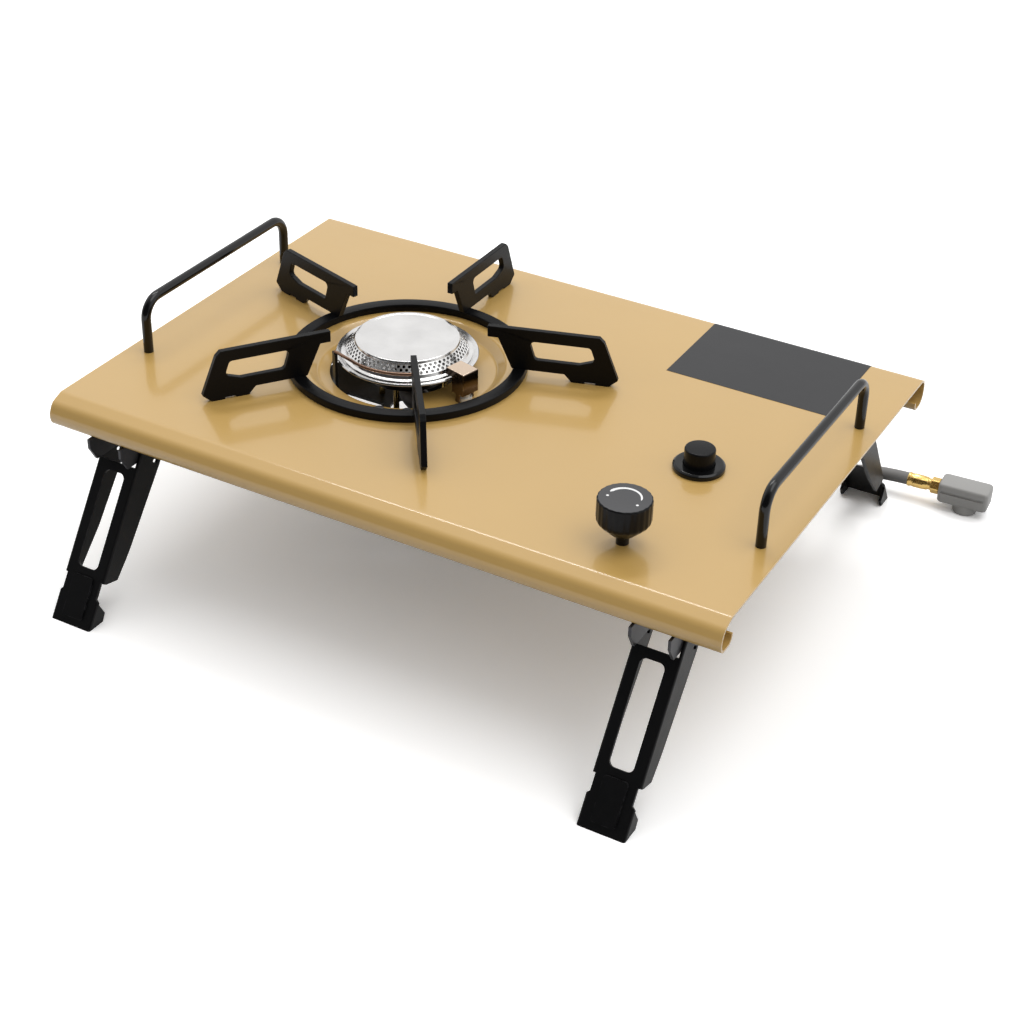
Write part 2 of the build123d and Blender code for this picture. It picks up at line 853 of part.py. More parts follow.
# Guard wire: from the post, round the front of the cap, down to the bowl's flange
guard_start_angle = wire_post_angle + degrees(acos(guard_circle / post_middle))
guard_middle_angle = (guard_start_angle + guard_end_angle) / 2
with BuildPart() as guard_wire:
    with BuildLine() as guard_line:
        Line(
            polar(post_middle, wire_post_angle, guard_height),
            polar(guard_circle, guard_start_angle, guard_height),
        )
        ThreePointArc(
            polar(guard_circle, guard_start_angle, guard_height),
            polar(guard_circle, guard_middle_angle, guard_height),
            polar(guard_circle, guard_end_angle, guard_height),
        )
        Line(
            polar(guard_circle, guard_end_angle, guard_height),
            polar(guard_circle, guard_end_angle, cup_flange_height),
        )
    with BuildSketch(Plane(guard_line.line @ 0, z_dir=guard_line.line % 0)):
        Circle(guard_wire_radius)
    sweep(transition=Transition.ROUND)
save(guard_wire.part, "guard_wire")

# Mixing tube: from the bowl's floor down and along to the jet, with air slots at its mouth
heading = Vector(cos(radians(pipe_heading)), sin(radians(pipe_heading)), 0)
pipe_start = Vector(burner_x, burner_y, outlet_height)
tube_mouth = pipe_start + heading * tube_length
with BuildPart() as mixing_tube:
    with BuildLine() as tube_line:
        FilletPolyline(
            (burner_x, burner_y, top_height + cup_bottom + cup_sheet),
            pipe_start,
            tube_mouth,
            radius=tube_bend,
        )
    with BuildSketch(Plane(tube_line.line @ 0, z_dir=tube_line.line % 0)):
        Circle(tube_radius)
        Circle(tube_bore_radius, mode=Mode.SUBTRACT)
    sweep()
    slot_place = tube_mouth - heading * air_slot_setback
    with BuildSketch(Plane(origin=slot_place, x_dir=heading, z_dir=(-heading.Y, heading.X, 0))):
        SlotOverall(air_slot_length, air_slot_height)
    extrude(amount=tube_radius + cut_overrun, both=True, mode=Mode.SUBTRACT)
save(mixing_tube.part, "mixing_tube")

# Jet, in the tube's mouth, with a hexagon and a collar for the pipe
jet_plane = Plane(origin=tube_mouth, x_dir=(0, 0, 1), z_dir=heading)
collar_face = jet_hex_length + jet_collar_length
with BuildPart() as gas_jet:
    with BuildSketch(jet_plane.offset(-jet_plug_length)):
        Circle(tube_bore_radius - fit_clearance)
    extrude(amount=jet_plug_length)
    with BuildSketch(jet_plane):
        RegularPolygon(jet_hex_radius, 6)
    extrude(amount=jet_hex_length)
    with BuildSketch(jet_plane.offset(jet_hex_length)):
        Circle(jet_collar_radius)
    extrude(amount=jet_collar_length)
    with BuildSketch(jet_plane.offset(collar_face - pipe_insert)):
        Circle(pipe_radius + fit_clearance)
    extrude(amount=pipe_insert, mode=Mode.SUBTRACT)
    with BuildSketch(jet_plane.offset(-jet_plug_length)):
        Circle(jet_orifice_radius)
    extrude(amount=jet_plug_length + collar_face, mode=Mode.SUBTRACT)
save(gas_jet.part, "gas_jet")

# Pipe from the valve's outlet to the jet
pipe_length = pipe_run - outlet_length - tube_length - collar_face + 2 * pipe_insert
with BuildPart() as gas_pipe:
    with BuildSketch(jet_plane.offset(collar_face - pipe_insert)):
        Circle(pipe_radius)
        Circle(pipe_bore_radius, mode=Mode.SUBTRACT)
    extrude(amount=pipe_length)
save(gas_pipe.part, "gas_pipe")

# Valve: a turned body under a flange, with an outlet and a barb for the hose
outlet_plane = Plane(origin=(valve_x, valve_y, outlet_height), x_dir=(0, 0, 1), z_dir=-heading)
barb_start = Vector(hose_route[0])
barb_heading = (Vector(hose_route[1]) - barb_start).normalized()
inlet_plane = Plane(origin=barb_start, z_dir=barb_heading)
inlet_reach = hypot(barb_start.X - valve_x, barb_start.Y - valve_y)
with BuildPart() as valve_body:
    with BuildSketch(Plane.XY.offset(valve_bottom)):
        with Locations((valve_x, valve_y)):
            Circle(valve_radius)
    extrude(amount=under_top - valve_bottom)
    fillet(valve_body.edges().group_by(Axis.Z)[0], valve_edge_radius)
    with BuildSketch(Plane.XY.offset(under_top - valve_flange_height)):
        with Locations((valve_x, valve_y)):
            SlotOverall(valve_flange_length, valve_flange_width)
        with Locations(*valve_stud_places):
            Circle(stud_hole_radius, mode=Mode.SUBTRACT)
    extrude(amount=valve_flange_height)
    with BuildSketch(outlet_plane):
        Circle(outlet_radius)
    extrude(amount=outlet_length)
    with BuildSketch(inlet_plane.offset(-inlet_reach)):
        Circle(outlet_radius)
    extrude(amount=inlet_reach)
    with BuildSketch(inlet_plane.offset(-inlet_hex_length)):
        RegularPolygon(inlet_hex_radius, 6)
    extrude(amount=inlet_hex_length)
    with BuildSketch(inlet_plane):
        Circle(hose_bore_radius - fit_clearance)
    extrude(amount=barb_insert)
    with BuildSketch(Plane.XY.offset(stem_foot)):
        with Locations((valve_x, valve_y)):
            Circle(stem_radius + running_clearance)
    extrude(amount=under_top - stem_foot, mode=Mode.SUBTRACT)
    with BuildSketch(outlet_plane.offset(outlet_length - pipe_insert)):
        Circle(pipe_radius + fit_clearance)
    extrude(amount=pipe_insert, mode=Mode.SUBTRACT)
save(valve_body.part, "valve_body")

# Valve stem: a round shaft with a flat at its upper end
stem_top = top_height + knob_hub_bottom + stem_in_knob
with BuildPart() as valve_stem:
    with BuildSketch(Plane.XY.offset(stem_foot)):
        with Locations((valve_x, valve_y)):
            Circle(stem_radius)
    extrude(amount=stem_top - stem_foot)
    with BuildSketch(Plane.XY.offset(stem_top - stem_flat_length)):
        with Locations((valve_x, valve_y + stem_flat + stem_radius)):
            Rectangle(4 * stem_radius, 2 * stem_radius)
    extrude(amount=stem_flat_length, mode=Mode.SUBTRACT)
save(valve_stem.part, "valve_stem")

# Knob: a fluted grip that tapers to a narrow foot, bored for the stem
grip_bottom = knob_top - knob_grip_height
with BuildPart() as knob:
    with BuildSketch(Plane(origin=(valve_x, valve_y, top_height), x_dir=(1, 0, 0), z_dir=(0, -1, 0))):
        with BuildLine():
            Polyline(
                (0, knob_hub_bottom),
                (knob_hub_radius, knob_hub_bottom),
                (knob_radius, grip_bottom),
                (knob_radius, knob_top),
                (0, knob_top),
                close=True,
            )
        make_face()
    revolve(axis=Axis((valve_x, valve_y, 0), (0, 0, 1)))
    shoulder = knob.edges().filter_by(GeomType.CIRCLE).group_by(Axis.Z)[1]
    fillet(shoulder, knob_shoulder_radius)
    fillet(knob.edges().group_by(Axis.Z)[-1], knob_edge_radius)
    with BuildSketch(Plane.XY.offset(top_height + grip_bottom)):
        with Locations((valve_x, valve_y)):
            with PolarLocations(knob_radius + flute_radius - flute_depth, flute_count):
                Circle(flute_radius)
    extrude(amount=knob_grip_height, mode=Mode.SUBTRACT)
    with BuildSketch(Plane.XY.offset(top_height + knob_hub_bottom)):
        with Locations((valve_x, valve_y)):
            Circle(stem_radius + fit_clearance)
        with Locations((valve_x, valve_y + stem_flat + fit_clearance + stem_radius)):
            Rectangle(4 * stem_radius, 2 * stem_radius, mode=Mode.SUBTRACT)
    extrude(amount=stem_in_knob + fit_clearance, mode=Mode.SUBTRACT)
    with BuildSketch(Plane.XY.offset(top_height + knob_hub_bottom)):
        with Locations((valve_x, valve_y)):
            Circle(stem_radius + fit_clearance)
    extrude(amount=stem_in_knob - stem_flat_length, mode=Mode.SUBTRACT)
save(knob.part, "knob")

# Igniter: bezel through the top, held by a ring nut, with the piezo unit below
bezel_bottom = top_height - bezel_neck_length
with BuildPart() as igniter_bezel:
    with BuildSketch(Plane.XY.offset(top_height)):
        with Locations((igniter_x, igniter_y)):
            Circle(bezel_radius)
    extrude(amount=bezel_height)
    fillet(igniter_bezel.edges().group_by(Axis.Z)[-1], bezel_edge_radius)
    with BuildSketch(Plane.XY.offset(bezel_bottom)):
        with Locations((igniter_x, igniter_y)):
            Circle(bezel_neck_radius)
    extrude(amount=bezel_neck_length)
    with BuildSketch(Plane.XY.offset(bezel_bottom)):
        with Locations((igniter_x, igniter_y)):
            Circle(button_radius + running_clearance)
    extrude(amount=bezel_neck_length + bezel_height, mode=Mode.SUBTRACT)
save(igniter_bezel.part, "igniter_bezel")

with BuildPart() as igniter_nut:
    with BuildSketch(Plane.XY.offset(under_top - igniter_nut_height)):
        with Locations((igniter_x, igniter_y)):
            RegularPolygon(igniter_nut_radius, 6)
            Circle(bezel_neck_radius + fit_clearance, mode=Mode.SUBTRACT)
    extrude(amount=igniter_nut_height)
save(igniter_nut.part, "igniter_nut")

terminal_height = bezel_bottom - terminal_drop
with BuildPart() as piezo_body:
    with BuildSketch(Plane.XY.offset(bezel_bottom - piezo_length)):
        with Locations((igniter_x, igniter_y)):
            Circle(piezo_radius)
    extrude(amount=piezo_length)
    fillet(piezo_body.edges().group_by(Axis.Z)[0], bezel_edge_radius)
    with BuildSketch(Plane(origin=(igniter_x, igniter_y, terminal_height), z_dir=(-1, 0, 0))):
        Circle(terminal_radius)
    extrude(amount=piezo_radius + terminal_length)
save(piezo_body.part, "piezo_body")

button_bottom = top_height + button_top - button_length
with BuildPart() as igniter_button:
    with BuildSketch(Plane.XY.offset(button_bottom)):
        with Locations((igniter_x, igniter_y)):
            Circle(button_radius)
    extrude(amount=button_length)
    fillet(igniter_button.edges().group_by(Axis.Z)[-1], button_edge_radius)
save(igniter_button.part, "igniter_button")

with BuildPart() as button_spring:
    with BuildSketch(Plane.XY.offset(bezel_bottom)):
        with Locations((igniter_x, igniter_y)):
            Circle(spring_radius)
            Circle(spring_radius - spring_wire, mode=Mode.SUBTRACT)
    extrude(amount=button_bottom - bezel_bottom)
save(button_spring.part, "button_spring")

# Spark electrode: a ceramic in a slot of the well's floor, with a steel pin bent to the burner
with BuildPart() as spark_electrode:
    with BuildSketch(Plane.XY.offset(top_height + ceramic_bottom)):
        with Locations(electrode_place):
            Circle(ceramic_radius)
    extrude(amount=ceramic_top - ceramic_bottom)
    with BuildSketch(Plane.XY.offset(well_floor)):
        with Locations(electrode_place):
            Circle(collar_radius)
    extrude(amount=collar_height)
    with BuildSketch(Plane.XY.offset(top_height + ceramic_bottom)):
        with Locations(electrode_place):
            Circle(spark_pin_radius + fit_clearance)
    extrude(amount=ceramic_top - ceramic_bottom, mode=Mode.SUBTRACT)
save(spark_electrode.part, "spark_electrode")

spark_height = ceramic_top + spark_pin_rise
with BuildPart() as electrode_pin:
    with BuildLine() as spark_line:
        FilletPolyline(
            polar(electrode_circle, electrode_angle, ceramic_bottom),
            polar(electrode_circle, electrode_angle, spark_height),
            polar(electrode_circle - spark_pin_reach, electrode_angle, spark_height),
            radius=spark_pin_bend,
        )
    with BuildSketch(Plane(spark_line.line @ 0, z_dir=spark_line.line % 0)):
        Circle(spark_pin_radius)
    sweep()
save(electrode_pin.part, "electrode_pin")

# Hood over the electrode: folded sheet, open to the burner and below, on two narrow feet
hood_plane = radial_plane(electrode_angle)
with BuildPart() as electrode_shield:
    with BuildSketch(hood_plane):
        with BuildLine():
            Polyline(
                (hood_inner, hood_top),
                (hood_inner, hood_throat_height),
                (hood_throat, hood_throat_height),
                (hood_throat, hood_bottom),
                (hood_foot_inner, hood_bottom),
                (hood_foot_inner, -well_depth),
                (hood_foot_outer, -well_depth),
                (hood_foot_outer, hood_bottom),
                (hood_outer, hood_bottom),
                (hood_outer, hood_top),
                close=True,
            )
        make_face()
    extrude(amount=hood_width / 2, both=True)
    fillet(electrode_shield.edges().group_by(Axis.Z)[-1], hood_edge_radius)
    with BuildSketch(hood_plane):
        with BuildLine():
            Polyline(
                (hood_inner - cut_overrun, hood_top - hood_sheet),
                (hood_outer - hood_sheet, hood_top - hood_sheet),
                (hood_outer - hood_sheet, -well_depth - cut_overrun),
                (hood_inner - cut_overrun, -well_depth - cut_overrun),
                close=True,
            )
        make_face()
    extrude(amount=hood_width / 2 - hood_sheet, both=True, mode=Mode.SUBTRACT)
save(electrode_shield.part, "electrode_shield")

# Lead from the piezo unit's terminal, up into the foot of the ceramic
lead_start = Vector(igniter_x - piezo_radius - terminal_length, igniter_y, terminal_height)
lead_end = polar(electrode_circle, electrode_angle, ceramic_bottom)
lead_points = [lead_start]
for way_share, drop in zip(lead_way_shares, lead_drops):
    along = lead_start + (lead_end - lead_start) * way_share
    lead_points.append(Vector(along.X, along.Y, top_height - drop))
lead_points += [lead_end - Vector(0, 0, lead_clear_run), lead_end]
lead_arcs = tube_arcs(lead_points, hose_arc_share)
with BuildPart() as ignition_lead:
    with BuildLine() as lead_line:
        FilletPolyline(*lead_points, radius=lead_arcs)
    with BuildSketch(Plane(lead_line.line @ 0, z_dir=lead_line.line % 0)):
        Circle(lead_radius)
    sweep()
save(ignition_lead.part, "ignition_lead")

# Hose: straight runs and tangent arcs from the barb to the ferrule
hose_arcs = tube_arcs(hose_route, hose_arc_share)
with BuildPart() as gas_hose:
    with BuildLine() as hose_line:
        FilletPolyline(*hose_route, radius=hose_arcs)
    with BuildSketch(Plane(hose_line.line @ 0, z_dir=hose_line.line % 0)):
        Circle(hose_radius)
        Circle(hose_bore_radius, mode=Mode.SUBTRACT)
    sweep()
save(gas_hose.part, "gas_hose")
hose_length = sum(edge.length for edge in hose_line.edges())
hose_section = pi * (hose_radius**2 - hose_bore_radius**2)
hose_share = gas_hose.part.volume / hose_section / hose_length
print("lead arcs", [round(arc, 1) for arc in lead_arcs])
print("hose arcs", [round(arc, 1) for arc in hose_arcs])
print("hose length", round(hose_length, 1), "volume share", round(hose_share, 5))

# Spring clip on the hose, over the barb
clip_inner = hose_radius + fit_clearance
clip_outer = clip_inner + clip_wall
clip_ear_x = (clip_ear_gap + clip_wall) / 2
clip_ear_y = clip_outer + clip_ear_length / 2 - clip_wall
with BuildPart() as hose_clip:
    with BuildSketch(inlet_plane.offset(clip_offset)):
        Circle(clip_outer)
        for ear_side in (-1, 1):
            with Locations((ear_side * clip_ear_x, clip_ear_y)):
                Rectangle(clip_wall, clip_ear_length)
        Circle(clip_inner, mode=Mode.SUBTRACT)
    extrude(amount=clip_width)
save(hose_clip.part, "hose_clip")

# Ferrule: crimped sleeve, groove and hexagon, with a spigot in the hose
hose_end = Vector(hose_route[-1])
end_heading = (hose_end - Vector(hose_route[-2])).normalized()
ferrule_plane = Plane(origin=hose_end, x_dir=(0, 0, 1), z_dir=end_heading)
ferrule_length = ferrule_crimp_length + ferrule_groove_length + ferrule_hex_length
with BuildPart() as hose_ferrule:
    with BuildSketch(ferrule_plane):
        Circle(ferrule_radius)
    extrude(amount=ferrule_crimp_length)
    with BuildSketch(ferrule_plane.offset(ferrule_crimp_length)):
        Circle(ferrule_groove_radius)
    extrude(amount=ferrule_groove_length)
    with BuildSketch(ferrule_plane.offset(ferrule_crimp_length + ferrule_groove_length)):
        RegularPolygon(ferrule_hex_radius, 6)
    extrude(amount=ferrule_hex_length)
    with BuildSketch(ferrule_plane.offset(-spigot_length)):
        Circle(hose_bore_radius - fit_clearance)
    extrude(amount=spigot_length)
save(hose_ferrule.part, "hose_ferrule")

# Connector: a rounded block with a seam groove, and a bored nub that stands on the floor
connector_start = hose_end + end_heading * ferrule_length
connector_frame = Plane(origin=connector_start, x_dir=end_heading, z_dir=(0, 0, 1))
nub_place = (connector_length / 2 + nub_offset, 0)
block_bottom = -connector_height / 2
with BuildPart() as gas_connector:
    with BuildSketch(connector_frame.offset(block_bottom)):
        with Locations((connector_length / 2, 0)):
            RectangleRounded(connector_length, connector_width, connector_edge_radius)
    extrude(amount=connector_height)
    fillet(gas_connector.edges().group_by(Axis.Z)[-1], connector_edge_radius / 2)
    fillet(gas_connector.edges().group_by(Axis.Z)[0], connector_edge_radius / 2)
    groove_length = connector_length - connector_slot_end
    with BuildSketch(connector_frame.offset(connector_slot_rise - connector_slot_height / 2)):
        for groove_side in (-1, 1):
            with Locations((groove_length / 2, groove_side * connector_width / 2)):
                Rectangle(groove_length, 2 * connector_slot_depth)
    extrude(amount=connector_slot_height, mode=Mode.SUBTRACT)
    with BuildSketch(connector_frame.offset(-connector_start.Z)):
        with Locations(nub_place):
            Circle(nub_radius)
    extrude(amount=connector_start.Z + block_bottom + connector_edge_radius / 2)
    with BuildSketch(connector_frame.offset(-connector_start.Z)):
        with Locations(nub_place):
            Circle(nub_bore_radius)
    extrude(amount=nub_bore_depth, mode=Mode.SUBTRACT)
save(gas_connector.part, "gas_connector")
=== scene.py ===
"""Looks of a one-burner camp stove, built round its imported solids.

Metres, +Z up. The origin is on the floor under the middle of the sheet top, and the front is -Y.
Profiles are in millimetres, and their heights start at the sheet top's upper face.
"""

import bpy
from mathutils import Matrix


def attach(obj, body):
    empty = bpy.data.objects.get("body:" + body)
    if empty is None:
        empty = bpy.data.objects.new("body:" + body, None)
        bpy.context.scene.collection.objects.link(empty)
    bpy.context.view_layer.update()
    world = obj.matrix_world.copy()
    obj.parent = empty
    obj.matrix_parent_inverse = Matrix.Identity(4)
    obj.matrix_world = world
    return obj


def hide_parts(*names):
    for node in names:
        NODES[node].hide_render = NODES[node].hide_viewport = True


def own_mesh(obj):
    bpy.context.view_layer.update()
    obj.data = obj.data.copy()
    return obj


bl_info = {
    "name": "Camp Stove Builder",
    "version": (1, 0, 0),
    "blender": (4, 5, 0),
    "location": "View3D > Sidebar > Camp Stove",
    "description": "Builds the finished pieces of a one-burner camp stove round its solids",
    "category": "Object",
}

from math import cos, radians, sin

import bmesh
import bpy
import numpy as np
from bpy.props import FloatProperty, FloatVectorProperty, IntProperty, PointerProperty
from bpy.types import NodeSocket, Operator, Panel, PropertyGroup
from mathutils import Matrix, Vector

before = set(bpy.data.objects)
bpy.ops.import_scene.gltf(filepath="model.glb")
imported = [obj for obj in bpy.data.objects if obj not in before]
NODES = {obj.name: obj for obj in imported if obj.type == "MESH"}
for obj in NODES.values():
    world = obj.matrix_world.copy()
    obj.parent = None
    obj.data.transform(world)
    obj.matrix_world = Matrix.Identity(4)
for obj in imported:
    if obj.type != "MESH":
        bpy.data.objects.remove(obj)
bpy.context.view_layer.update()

MM = 0.001
MERGE_DISTANCE = 1e-6

# Places and sizes that the finished pieces share with the solids
TOP_Z = 0.100
BURNER = np.array([-0.0515, 0.0])
KNOB_AXIS = np.array([0.1155, -0.0895])
KNOB_FACE = 23.5
IGNITER_AXIS = np.array([0.118, -0.015])
HANDLE_X = 0.169
HANDLE_Y = 0.060
HANDLE_RISE = 0.0277
STUD_X = 0.1473
STUD_Y = (0.1055, 0.092)
VALVE_STUD = 0.016
HOSE_ROUTE = [
    (0.1088, -0.0644, 0.072),
    (0.1016, -0.0375, 0.071),
    (0.095, 0.004, 0.051),
    (0.09, 0.045, 0.02),
    (0.086, 0.086, 0.0037),
    (0.084, 0.127, 0.0037),
    (0.1015, 0.153, 0.0037),
    (0.1299, 0.167, 0.0056),
    (0.152, 0.1684, 0.0108),
    (0.167, 0.1694, 0.0108),
]
FERRULE_LENGTH = 0.018
LEAD_ROUTE = [
    (0.1055, -0.015, 0.077),
    (0.08794, -0.01432, 0.077),
    (0.05985, -0.01324, 0.0745),
    (0.02708, -0.01197, 0.0658),
    (0.01104, -0.01135, 0.0592),
    (-0.00113, -0.01088, 0.0555),
    (-0.00757, -0.01063, 0.0574),
    (-0.01155, -0.01048, 0.0627),
    (-0.01155, -0.01048, 0.078),
]
LEAD_DIAMETER = 0.0024

# Rolled edges of the top: points in each bend, and the lip's depth, foot and end in millimetres
ROLL_STEPS = 10
LIP_DEPTH = 12.5
LIP_FOOT = -15.0
LIP_END = -9.8

# Rounding of edges
TOP_EDGE = 0.0003
HOOD_EDGE = 0.0005
SMALL_EDGE = 0.0002

# Lamps: width and height, and place
KEY_LAMP = (3.0, 2.6), (1.5, 0.4, 3.7)
STRIP_LAMP = (1.0, 0.2), (-0.5, 0.68, 1.6)
LAMP_AIM = Vector((0.0, 0.0, 0.08))
FLOOR_REACH = 12.0
SENSOR_WIDTH = 36.0


# Sizes, colours and stage values that a user would change


def number(name, description, default, **limits):
    """A number that isn't negative, with a unit or an upper limit where one fits."""
    return FloatProperty(name=name, description=description, default=default, min=0.0, **limits)


def length(name, description, default):
    """A length in metres, shown with its unit."""
    return number(name, description, default, precision=5, subtype="DISTANCE", unit="LENGTH")


def degrees(name, description, default):
    """An angle, written here in degrees and kept in radians."""
    default = radians(default)
    return FloatProperty(name=name, description=description, default=default, subtype="ANGLE")


def whole(name, description, default, low, high):
    """A whole number between two limits."""
    return IntProperty(name=name, description=description, default=default, min=low, max=high)


def colour(name, description, default):
    """A linear colour."""
    kind = {"size": 3, "min": 0.0, "max": 1.0, "subtype": "COLOR"}
    return FloatVectorProperty(name=name, description=description, default=default, **kind)


class StoveSizes(PropertyGroup):
    """Sizes of the finished pieces."""

    top_length: length("Top length", "Length of the sheet top", 0.360)
    top_depth: length("Top depth", "Depth of the sheet top over its rolled edges", 0.250)
    sheet: length("Sheet", "Thickness of the sheet top", 0.0012)
    fold: length("Fold", "Distance of the fold line from the top's front edge", 0.0099)
    panel_length: length("Panel length", "Length of the dark panel", 0.0875)
    wire: length("Handle wire", "Diameter of the handle wire", 0.005)
    port_radius: length("Port radius", "Radius of a gas port in the burner cap", 0.00078)
    port_count: whole("Ports", "Gas ports in each row of the cap", 64, 12, 90)
    flute_count: whole("Flutes", "Flutes round the knob", 24, 6, 60)
    flute_depth: length("Flute depth", "Depth of the knob's flutes", 0.00016)
    hose_diameter: length("Hose diameter", "Outer diameter of the gas hose", 0.007)
    edge_round: length("Edge round", "Rounding of coated plate edges", 0.00035)


class StoveColours(PropertyGroup):
    """Colours of the finishes."""

    tan: colour("Tan", "Paint of the sheet top", (0.530, 0.330, 0.094))
    black: colour("Black", "Coat of legs, handles and pan support", (0.0030, 0.0030, 0.0034))
    panel: colour("Panel", "Dark panel on the top", (0.022, 0.022, 0.024))
    hinge: colour("Hinge steel", "Dark hinge brackets", (0.045, 0.045, 0.05))
    steel: colour("Steel", "Polished burner steel", (0.76, 0.75, 0.74))
    tinted: colour("Tinted steel", "Heat-tinted hood over the electrode", (0.72, 0.57, 0.44))
    wire_brown: colour("Brown wire", "Burnt guard wire round the burner", (0.26, 0.16, 0.11))
    # Dark steel: heat tint, and painted shade where it is put on the downward faces of the bowl and
    # cap.
    burnt_and_shaded: colour("Burnt steel", "Burner steel dark from heat", (0.050, 0.043, 0.038))
    zinc: colour("Zinc", "Plated nuts, pins and screws", (0.52, 0.52, 0.53))
    brass: colour("Brass", "Brass fittings", (0.72, 0.49, 0.17))
    plastic: colour("Plastic", "Moulded knob and igniter", (0.004, 0.004, 0.0045))
    # Matt top of the knob, its colour lightened as painted light from above.
    matt_lit_knob_face: colour("Knob face", "Matt face of the knob", (0.036, 0.036, 0.039))
    hose: colour("Hose", "Grey hose rubber", (0.19, 0.185, 0.18))
    casting: colour("Casting", "Grey cast connector", (0.33, 0.325, 0.315))
    ceramic: colour("Ceramic", "Glazed ceramic", (0.80, 0.78, 0.73))
    mark: colour("Mark", "Printed mark on the knob", (0.82, 0.82, 0.82))


class StoveStage(PropertyGroup):
    """Camera, lamps and floor."""

    eye: FloatVectorProperty(
        name="Eye",
        description="Place of the camera",
        default=(0.4190, -0.7511, 0.5906),
        size=3,
        subtype="TRANSLATION",
        unit="LENGTH",
    )
    azimuth: degrees("Azimuth", "Turn of the camera from the front to the right", 28.5)
    elevation: degrees("Elevation", "Angle of the view below the horizon", 33.253)
    roll: degrees("Roll", "Turn of the camera about its own view", 1.626)
    lens: number("Lens", "Focal length", 69.9, unit="CAMERA")
    key_power: number("Key", "Power of the large lamp", 47.0, unit="POWER")
    strip_power: number("Strip", "Power of the long lamp overhead", 7.0, unit="POWER")
    ambient: number("Ambient", "Light from the back and the sides", 0.90, max=2.0)
    ambient_front: number("Ambient front", "Light from the camera's side", 0.68, max=2.0)
    dark_turn: degrees("Dark turn", "Turn of the dark side from the front to the right", 5.0)
    dark_side: number("Dark side", "Room behind the camera, as gloss shows it", 0.05, max=1.0)
    floor_white: number("Floor white", "Floor as the camera sees it", 1.30, max=2.0)
    floor_gloss: number("Floor in gloss", "Floor as gloss and glass show it", 0.95, max=1.0)
    floor_bounce: number("Floor bounce", "Light that the floor throws back", 0.3, max=1.0)


# Arrays of points


def unit(vectors):
    """Each vector divided by its length."""
    return vectors / np.linalg.norm(vectors, axis=-1, keepdims=True)


def full_turn(steps):
    """Even angles of a full turn, without the repeat at its end."""
    return np.linspace(0, 2 * np.pi, steps, endpoint=False)


def spread(*coordinates):
    """Points from their coordinates, each spread over one common grid."""
    return np.stack(np.broadcast_arrays(*coordinates), -1)


def turned(centre, radius, angle, height):
    """Points round an upright axis: x = r cos a, y = r sin a from the centre, and z = height."""
    return spread(centre[0] + radius * np.cos(angle), centre[1] + radius * np.sin(angle), height)


def rounded(corners, radii, steps=6, closed=True):
    """Line through the corners, each replaced by an arc that touches both of its sides.

    The arc's centre is on the corner's bisector, radius / sin(half the inside angle) away, and the
    arc runs between the touching points by spherical interpolation. An open line keeps its ends.
    """
    corner = np.asarray(corners, float)
    radius = np.broadcast_to(np.asarray(radii, float), len(corner))[:, None]
    back = unit(np.roll(corner, 1, 0) - corner)
    ahead = unit(np.roll(corner, -1, 0) - corner)
    half = np.arccos(np.clip((back * ahead).sum(1, keepdims=True), -1, 1)) / 2
    with np.errstate(divide="ignore", invalid="ignore"):
        centre = corner + unit(back + ahead) * radius / np.sin(half)
        start = corner + back * radius / np.tan(half) - centre
        end = corner + ahead * radius / np.tan(half) - centre
        sweep = np.pi - 2 * half
        share = np.linspace(0, 1, steps)
        first = np.sin((1 - share) * sweep) / np.sin(sweep)
        last = np.sin(share * sweep) / np.sin(sweep)
        arc = centre[:, None] + first[..., None] * start[:, None] + last[..., None] * end[:, None]
    if closed:
        return arc.reshape(-1, corner.shape[1])
    return np.concatenate([corner[:1], arc[1:-1].reshape(-1, corner.shape[1]), corner[-1:]])


def grid_faces(rows, columns, wrap_rows=False, wrap_columns=False):
    """Quads between the neighbours of a rows by columns grid of points."""
    row, column = np.indices((rows - (not wrap_rows), columns - (not wrap_columns)))
    start, after = row * columns, (row + 1) % rows * columns
    beside = (column + 1) % columns
    corners = (start + column, start + beside, after + beside, after + column)
    return np.stack(corners, -1).reshape(-1, 4)


def surface(points, wrap_rows=False, wrap_columns=False, capped=False):
    """A grid of points, its quads, and a flat face over each end row if it is capped."""
    rows, columns = points.shape[:2]
    row = np.arange(columns)
    ends = [row, row + (rows - 1) * columns] if capped else []
    return points.reshape(-1, 3), grid_faces(rows, columns, wrap_rows, wrap_columns), ends


def lathe(profile, centre, turns, radii=None, steps=5, base=TOP_Z, closed=True):
    """Profile of radius and height, in millimetres, rounded and turned round an upright axis."""
    if radii is not None:
        profile = rounded(profile, radii, steps, closed)
    radius, height = (np.asarray(profile, float) * MM).T[:, :, None]
    points = turned(centre, radius, full_turn(turns), base + height)
    return surface(points, wrap_rows=closed, wrap_columns=True)


def tube(path, radius, sides, across):
    """A circle carried along a flat path: path + radius (cos a * normal + sin a * across).

    The normal is at right angles to the path's tangent and to across, which is the plane's normal.
    """
    step = unit(np.diff(path, axis=0))
    tangent = unit(np.concatenate([step[:1], step[:-1] + step[1:], step[-1:]]))
    normal = np.cross(across, tangent)
    angle = full_turn(sides)[None, :, None]
    ring = np.cos(angle) * normal[:, None] + np.sin(angle) * np.asarray(across)
    return surface(path[:, None] + radius * ring, wrap_columns=True, capped=True)


# Pieces from points


def put(target, **settings):
    """Give a target its settings, and give it back."""
    for key, value in settings.items():
        setattr(target, key, value)
    return target


def new_object(name, data):
    """New object in the scene, at the origin, unturned and unscaled."""
    made = bpy.data.objects.new(name, data)
    bpy.context.scene.collection.objects.link(made)
    return made


def finished(name, data, look, replaced, body):
    """New object with its finish, its body and the solids that it replaces."""
    made = new_object(name, data)
    data.materials.append(finish(look))
    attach(made, body)
    if replaced:
        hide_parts(*replaced)
    return made


